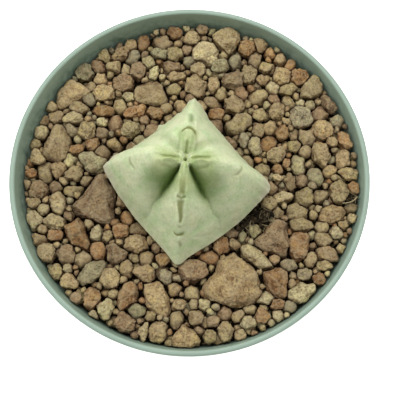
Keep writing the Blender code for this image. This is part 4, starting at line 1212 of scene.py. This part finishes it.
def skin_detail(radius, along, across, owned, rise, strap, angle):
    """Fine relief of the lobes, and how much mark and young growth there is and how far the skin is free of
    painted shade.
    """
    z = np.zeros_like(radius)
    marks = np.zeros_like(radius)

    def press(lobe, shape, depth, stain=0.0):
        """Sink a shape into a lobe by a depth in mm, or raise it, and stain it; gives the shape there."""
        here = shape * (owned[lobe] > 0)
        z[:] -= depth * here
        marks[:] += stain * here
        return here

    # Each lobe: the channel along its ridge (start, end, depth, half width, stain at both ends) and the
    # bars beside it (start, end, height)
    for lobe, channel, bars in ((EAST, (2.4, 7.0, 0.6, 0.34, 0.4, 0.4), (1.6, 8.4, 0.34)),
                                (NORTH, (1.2, 4.8, 0.5, 0.36, 0.15, 0.35), (1.0, 8.2, 0.3)),
                                (WEST, (2.4, 6.6, 0.6, 0.34, 0.4, 0.4), (1.6, 8.2, 0.34)),
                                (SOUTH, (4.6, 9.6, 0.35, 0.9, 0.1, 1.0), (2.4, 10.2, 0.12))):
        s, u = along[lobe], across[lobe]
        start, end, depth, width, first_stain, last_stain = channel
        stain = first_stain + (last_stain - first_stain) * (s - start) / (end - start)
        press(lobe, between(s, start, end, 0.9) * np.exp(-(u / width) ** 4), depth, stain)
        bar_sides = hump(u, -width - 0.65, 0.5) + hump(u, width + 0.65, 0.5)
        press(lobe, between(s, bars[0], bars[1], 1.0) * bar_sides, -bars[2])

    # Back lobe: an arched fold at the end of the young part, a hollow behind it and a knobby tip
    s, u = along[NORTH], across[NORTH]
    press(NORTH, hump(s, 8.7 - 0.36 * u * u, 0.5 - 0.1 * u) * between(u, -2.1, 2.0, 0.35), 0.55, 1.0)
    press(NORTH, between(s, 4.0, 8.3, 0.5) * hump(u, 0.0, 2.0), -0.35)
    press(NORTH, between(s, 2.6, 7.4, 0.8) * (hump(u, -2.4, 0.35) + hump(u, 2.4, 0.35)), 0.07, 0.3)
    hollow = press(NORTH, between(s, 10.6, 14.2, 1.4) * hump(u, -0.1, 0.95), 0.7)
    press(NORTH, between(s, 9.8, 17.0, 1.5) * (hump(u, -1.9, 0.6) + hump(u, 1.8, 0.6)), -0.4)
    press(NORTH, hump(s, 23.0, 1.3) * hump(u, 0.0, 1.6), -0.9)

    # Front lobe: a small chevron, a fading scar between two low ridges, a spot, a curved fold and a dimple
    s, u = along[SOUTH], across[SOUTH]
    press(SOUTH, hump(s, 10.5 - 0.5 * np.abs(u), 0.32) * between(u, -1.3, 1.3, 0.2), 0.3, 0.8)
    half = 1.15 - 0.13 * np.clip(s - 10.8, 0.0, 6.0)
    press(SOUTH, between(s, 10.9, 16.6, 0.6) * np.exp(-(u / half) ** 4), 0.25, 0.85)
    press(SOUTH, between(s, 9.6, 17.0, 1.4) * hump(np.abs(u), half + 0.6, 0.5), -0.45)
    press(SOUTH, hump(s, 17.4, 0.4) * hump(u, 0.1, 0.5), 0.0, 0.5)
    press(SOUTH, hump(s, 19.4 - 0.32 * u * u, 0.36) * between(u, -1.6, 1.6, 0.3), 0.45, 0.95)
    press(SOUTH, hump(s, 21.8, 0.7) * hump(u, 0.0, 0.42), 0.35, 0.75)

    # Side lobes: rounded inner ends of the young parts and a fold across the ridge further out
    for lobe, side in ((WEST, 1.0), (EAST, -1.0)):
        s, u = along[lobe], across[lobe] * side
        out = np.hypot((s - 4.3) / 2.4, (u - 1.5) / 1.0)
        nose = (1.0 - soft_step(out, 0.6, 1.2)) * (u > -0.5)
        z += 1.1 * nose
        strap = np.maximum(strap, 0.8 * nose)
        # A painted shadow line, in the stain colour, round the lower side of each nose
        marks += 0.18 * hump(out, 1.15, 0.2) * soft_step(u, 1.3, 2.2)
        press(lobe, hump(s, 16.2 - 0.22 * u * u, 0.4) * between(u, -0.6, 2.8, 0.5), 0.4, 0.5)

    young = (1.0 - soft_step(radius, 6.0, 11.5)) * soft_step(rise, 0.45, 0.9)
    # Painted shade: darker, greener skin on the front sides of the side lobes, in the creases, most in the
    # deep ones, and at the growing point
    down_side = np.where(turn_between(260.0, angle) < 0, owned[WEST] * (across[WEST] > 0),
                         owned[EAST] * (across[EAST] < 0))
    shade = 0.95 * np.where(down_side > 0, soft_step(1.0 - down_side, 0.08, 0.55), 0.0)
    for direction, _, _, deep in CREASES:
        turn = turn_between(direction, angle)
        strength, width = (1.15, 2.0) if deep else (0.4, 1.5)
        far = radius * np.abs(np.sin(np.radians(turn)))
        shade = np.maximum(shade, strength * hump(far, 0.0, width) * (np.abs(turn) < 75.0))
    shade = shade * (1.0 - soft_step(radius, 7.5, 16.5)) * (1.0 - 0.85 * strap)
    # Painted shade also in the growing point and in the back lobe's hollow
    shade = np.maximum(shade, np.maximum(hump(radius, 0.0, 0.5), 0.75 * hollow))
    # A dark dot of painted shade in the pit, in the stain colour
    marks += 0.5 * hump(radius, 0.0, 0.4)
    return z, np.clip(marks, 0.0, 1.0), young, 1.0 - np.clip(shade, 0.0, 1.0)


def plant_material(settings):
    """Waxy succulent skin: a matt grey-green waxy coat, painted darker and greener as painted shade where the
    lobes are shaded, pale corky edges.
    """
    material, tree, shader, place = new_material("waxy_succulent_skin")
    bloom, young, marks, rim, cork = [add_node(tree, "Attribute", attribute_name=name).outputs["Fac"]
                                      for name in ("bloom", "young", "marks", "rim", "cork")]
    # Soft mottling 5 mm across, faint wrinkles and flecks of 1.5 mm, and skin cells drawn 0.5 mm wide
    mottle = add_node(tree, "TexNoise", {"Vector": place, "Scale": 190.0, "Detail": 3.0, "Roughness": 0.55,
                                         "Distortion": 0.4})
    flecks = add_node(tree, "TexNoise", {"Vector": place, "Scale": 620.0, "Detail": 3.0, "Roughness": 0.65,
                                         "Distortion": 0.6})
    cells = add_node(tree, "TexNoise", {"Vector": place, "Scale": 1800.0, "Detail": 2.0})
    mottled = add_node(tree, "ValToRGB", {"Fac": mottle},
                       stops=((0.34, (0.86, 0.95, 0.82)), (0.5, (1.0, 1.0, 0.97)),
                              (0.66, (1.07, 1.02, 0.99))))
    flecked = add_node(tree, "ValToRGB", {"Fac": flecks},
                       stops=((0.32, (0.90, 0.93, 0.84)), (0.5, grey(1.0)), (0.7, (1.05, 1.04, 1.06))))
    celled = add_node(tree, "MapRange", {"Value": cells, "From Min": 0.3, "From Max": 0.7, "To Min": 0.93,
                                         "To Max": 1.07})
    # Painted shade under the lit skin colour, then the young growth's colour over both
    skin = settings.shaded_skin
    for factor, colour in ((bloom, settings.skin), (young, settings.young)):
        skin = add_node(tree, "Mix", {FACTOR: factor, UNDER: skin, OVER: colour}, data_type="RGBA")
    for factor in (mottled, flecked, celled):
        skin = add_node(tree, "VectorMath", {0: skin, 1: factor}, operation="MULTIPLY")
    # Pale edges, then the marks, which also paint shade in the pit and a shadow line round the noses. The
    # buried base and the underside near the soil are corky brown
    for factor, colour in ((rim, settings.edge), (marks, settings.stain), (cork, linear("#9A8A66"))):
        skin = add_node(tree, "Mix", {FACTOR: factor, UNDER: skin, OVER: colour}, data_type="RGBA")
    rough = add_node(tree, "MapRange", {"Value": mottle, "To Min": 0.5, "To Max": 0.68})
    wave = add_node(tree, "Bump", {"Height": mottle, "Strength": 0.25, "Distance": 0.5 * MM})
    wrinkles = add_node(tree, "Bump", {"Height": flecks, "Strength": 0.4, "Distance": 0.4 * MM,
                                       "Normal": wave})
    fine = add_node(tree, "Bump", {"Height": cells, "Strength": 0.3, "Distance": 0.12 * MM,
                                   "Normal": wrinkles})
    feed(shader, {"Base Color": skin, "Roughness": rough, "Normal": fine, "Subsurface Weight": 0.12,
                  "Subsurface Radius": (1.2, 1.6, 0.5), "Subsurface Scale": 0.9 * MM,
                  "Specular IOR Level": 0.4})
    return material


class WHITESLOANEA_OT_plant(bpy.types.Operator):
    """Make the plant: a spun disc whose rings are moved onto its skin"""
    bl_idname = "whitesloanea.plant"
    bl_label = "Make plant"

    def execute(self, context):
        settings = context.scene.whitesloanea_plant
        stations = [0.0]
        for first, rows in enumerate((settings.rows, FLANK_ROWS, ROOT_ROWS)):
            stations += [first + i / rows for i in range(1, rows + 1)]
        bm = spin_line([(station, 0.0) for station in stations], settings.steps, 0.00001)
        flat = np.array([(v.co.x, v.co.y) for v in bm.verts])
        station = np.hypot(flat[:, 0], flat[:, 1])
        angle = np.degrees(np.arctan2(flat[:, 1], flat[:, 0]))
        points, marks, young, bloom = plant_surface(station, angle)
        corner = corner_nearness(angle)
        rim = hump(station, 1.0, 0.03 + 0.035 * corner) * (0.35 + 0.65 * corner)
        cork = soft_step(station, 1.45, 1.9)
        layers = [bm.verts.layers.float.new(n) for n in ("marks", "young", "bloom", "rim", "cork")]
        for index, vert in enumerate(bm.verts):
            spot = Vector(points[index])
            wave = noise.fractal(spot * 0.22, 0.9, 2.1, 3)
            crinkle = noise.fractal(spot * 0.75, 0.8, 2.2, 2)
            swell = (SWELL * wave + CRINKLE * crinkle - SUNK) * min(1.0, station[index] * 3.0)
            vert.co = spot + Vector((0.0, 0.0, swell if station[index] < 1.9 else 0.0))
            for layer, values in zip(layers, (marks, young, bloom, rim, cork)):
                vert[layer] = float(values[index])
        bmesh.ops.remove_doubles(bm, verts=bm.verts, dist=0.001)
        bmesh.ops.recalc_face_normals(bm, faces=bm.faces)
        plant = finish_mesh("succulent_body", bm, plant_material(settings))
        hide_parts("whitesloanea_plant")
        return {"FINISHED"}


# ---------------------------------------------------------------- stage

def floor_material(settings):
    """Seamless white paper lit from below, so that no shadow is left on it."""
    material, tree, shader, place = new_material("white_paper")
    fibres = add_node(tree, "TexNoise", {"Vector": place, "Scale": 900.0, "Detail": 2.0})
    bump = add_node(tree, "Bump", {"Height": fibres, "Strength": 0.02, "Distance": 0.1 * MM})
    feed(shader, {"Base Color": settings.floor, "Normal": bump, "Roughness": 0.9,
                  "Emission Color": settings.floor, "Emission Strength": 0.8})
    return material


class WHITESLOANEA_OT_stage(bpy.types.Operator):
    """Make the pale floor, the soft lights and the camera"""
    bl_idname = "whitesloanea.stage"
    bl_label = "Make stage"

    def add_lamp(self, scene, name, direction, size, power):
        """A square soft light one metre away that faces the plant."""
        light = bpy.data.lights.new(name, "AREA")
        light.shape = "SQUARE"
        light.size = size
        light.energy = power
        lamp = bpy.data.objects.new(name, light)
        direction = Vector(direction).normalized()
        lamp.location = direction + Vector((0.0, 0.0, LEVEL_Z * MM))
        lamp.rotation_euler = direction.to_track_quat("Z", "Y").to_euler()
        scene.collection.objects.link(lamp)

    def execute(self, context):
        settings = context.scene.whitesloanea_stage
        scene = context.scene
        bm = bmesh.new()
        bmesh.ops.create_grid(bm, x_segments=1, y_segments=1, size=settings.floor_size / 2)
        make_object("floor", bm, floor_material(settings))

        for name, direction, size, power in (("key", (-0.1, 0.5, 0.86), 0.8, settings.key_power),
                                             ("front", (0.0, -0.42, 0.91), 0.6, settings.front_power),
                                             ("side_left", (-0.77, 0.1, 0.64), 0.7, settings.side_power),
                                             ("side_right", (0.77, 0.1, 0.64), 0.7, settings.side_power)):
            self.add_lamp(scene, name, direction, size, power)

        world = bpy.data.worlds.new("studio")
        world.use_nodes = True
        sky = world.node_tree.nodes["Background"]
        sky.inputs["Color"].default_value = (1.0, 1.0, 1.0, 1.0)
        sky.inputs["Strength"].default_value = settings.sky
        scene.world = world
        scene.view_settings.view_transform = "Standard"

        camera = bpy.data.cameras.new("camera")
        camera.lens = settings.lens
        camera.sensor_width = 36.0
        camera.clip_start = 0.01
        camera.clip_end = 50.0
        eye = bpy.data.objects.new("camera", camera)
        eye.location = settings.camera
        eye.rotation_euler = (settings.tilt, 0.0, 0.0)
        scene.collection.objects.link(eye)
        scene.camera = eye
        return {"FINISHED"}


# ---------------------------------------------------------------- add-on

STEPS = ("pot", "soil", "gravel", "litter", "plant", "stage")


class WHITESLOANEA_PT_panel(bpy.types.Panel):
    """Lists the steps that make the potted plant"""
    bl_label = "Potted whitesloanea"
    bl_idname = "WHITESLOANEA_PT_panel"
    bl_space_type = "VIEW_3D"
    bl_region_type = "UI"
    bl_category = "Whitesloanea"

    def draw(self, context):
        for step in STEPS:
            self.layout.operator("whitesloanea." + step)


SETTINGS = {"pot": PotSettings, "gravel": GravelSettings, "litter": LitterSettings,
            "plant": PlantSettings, "stage": StageSettings}
CLASSES = (PotSettings, GravelSettings, LitterSettings, PlantSettings, StageSettings, WHITESLOANEA_OT_pot,
           WHITESLOANEA_OT_soil, WHITESLOANEA_OT_gravel, WHITESLOANEA_OT_litter, WHITESLOANEA_OT_plant,
           WHITESLOANEA_OT_stage, WHITESLOANEA_PT_panel)


def register():
    for item in CLASSES:
        bpy.utils.register_class(item)
    for name, group in SETTINGS.items():
        setattr(bpy.types.Scene, "whitesloanea_" + name, PointerProperty(type=group))


def unregister():
    for name in SETTINGS:
        delattr(bpy.types.Scene, "whitesloanea_" + name)
    for item in reversed(CLASSES):
        bpy.utils.unregister_class(item)


def main():
    register()
    for step in STEPS:
        getattr(bpy.ops.whitesloanea, step)()


if __name__ == "__main__":
    main()
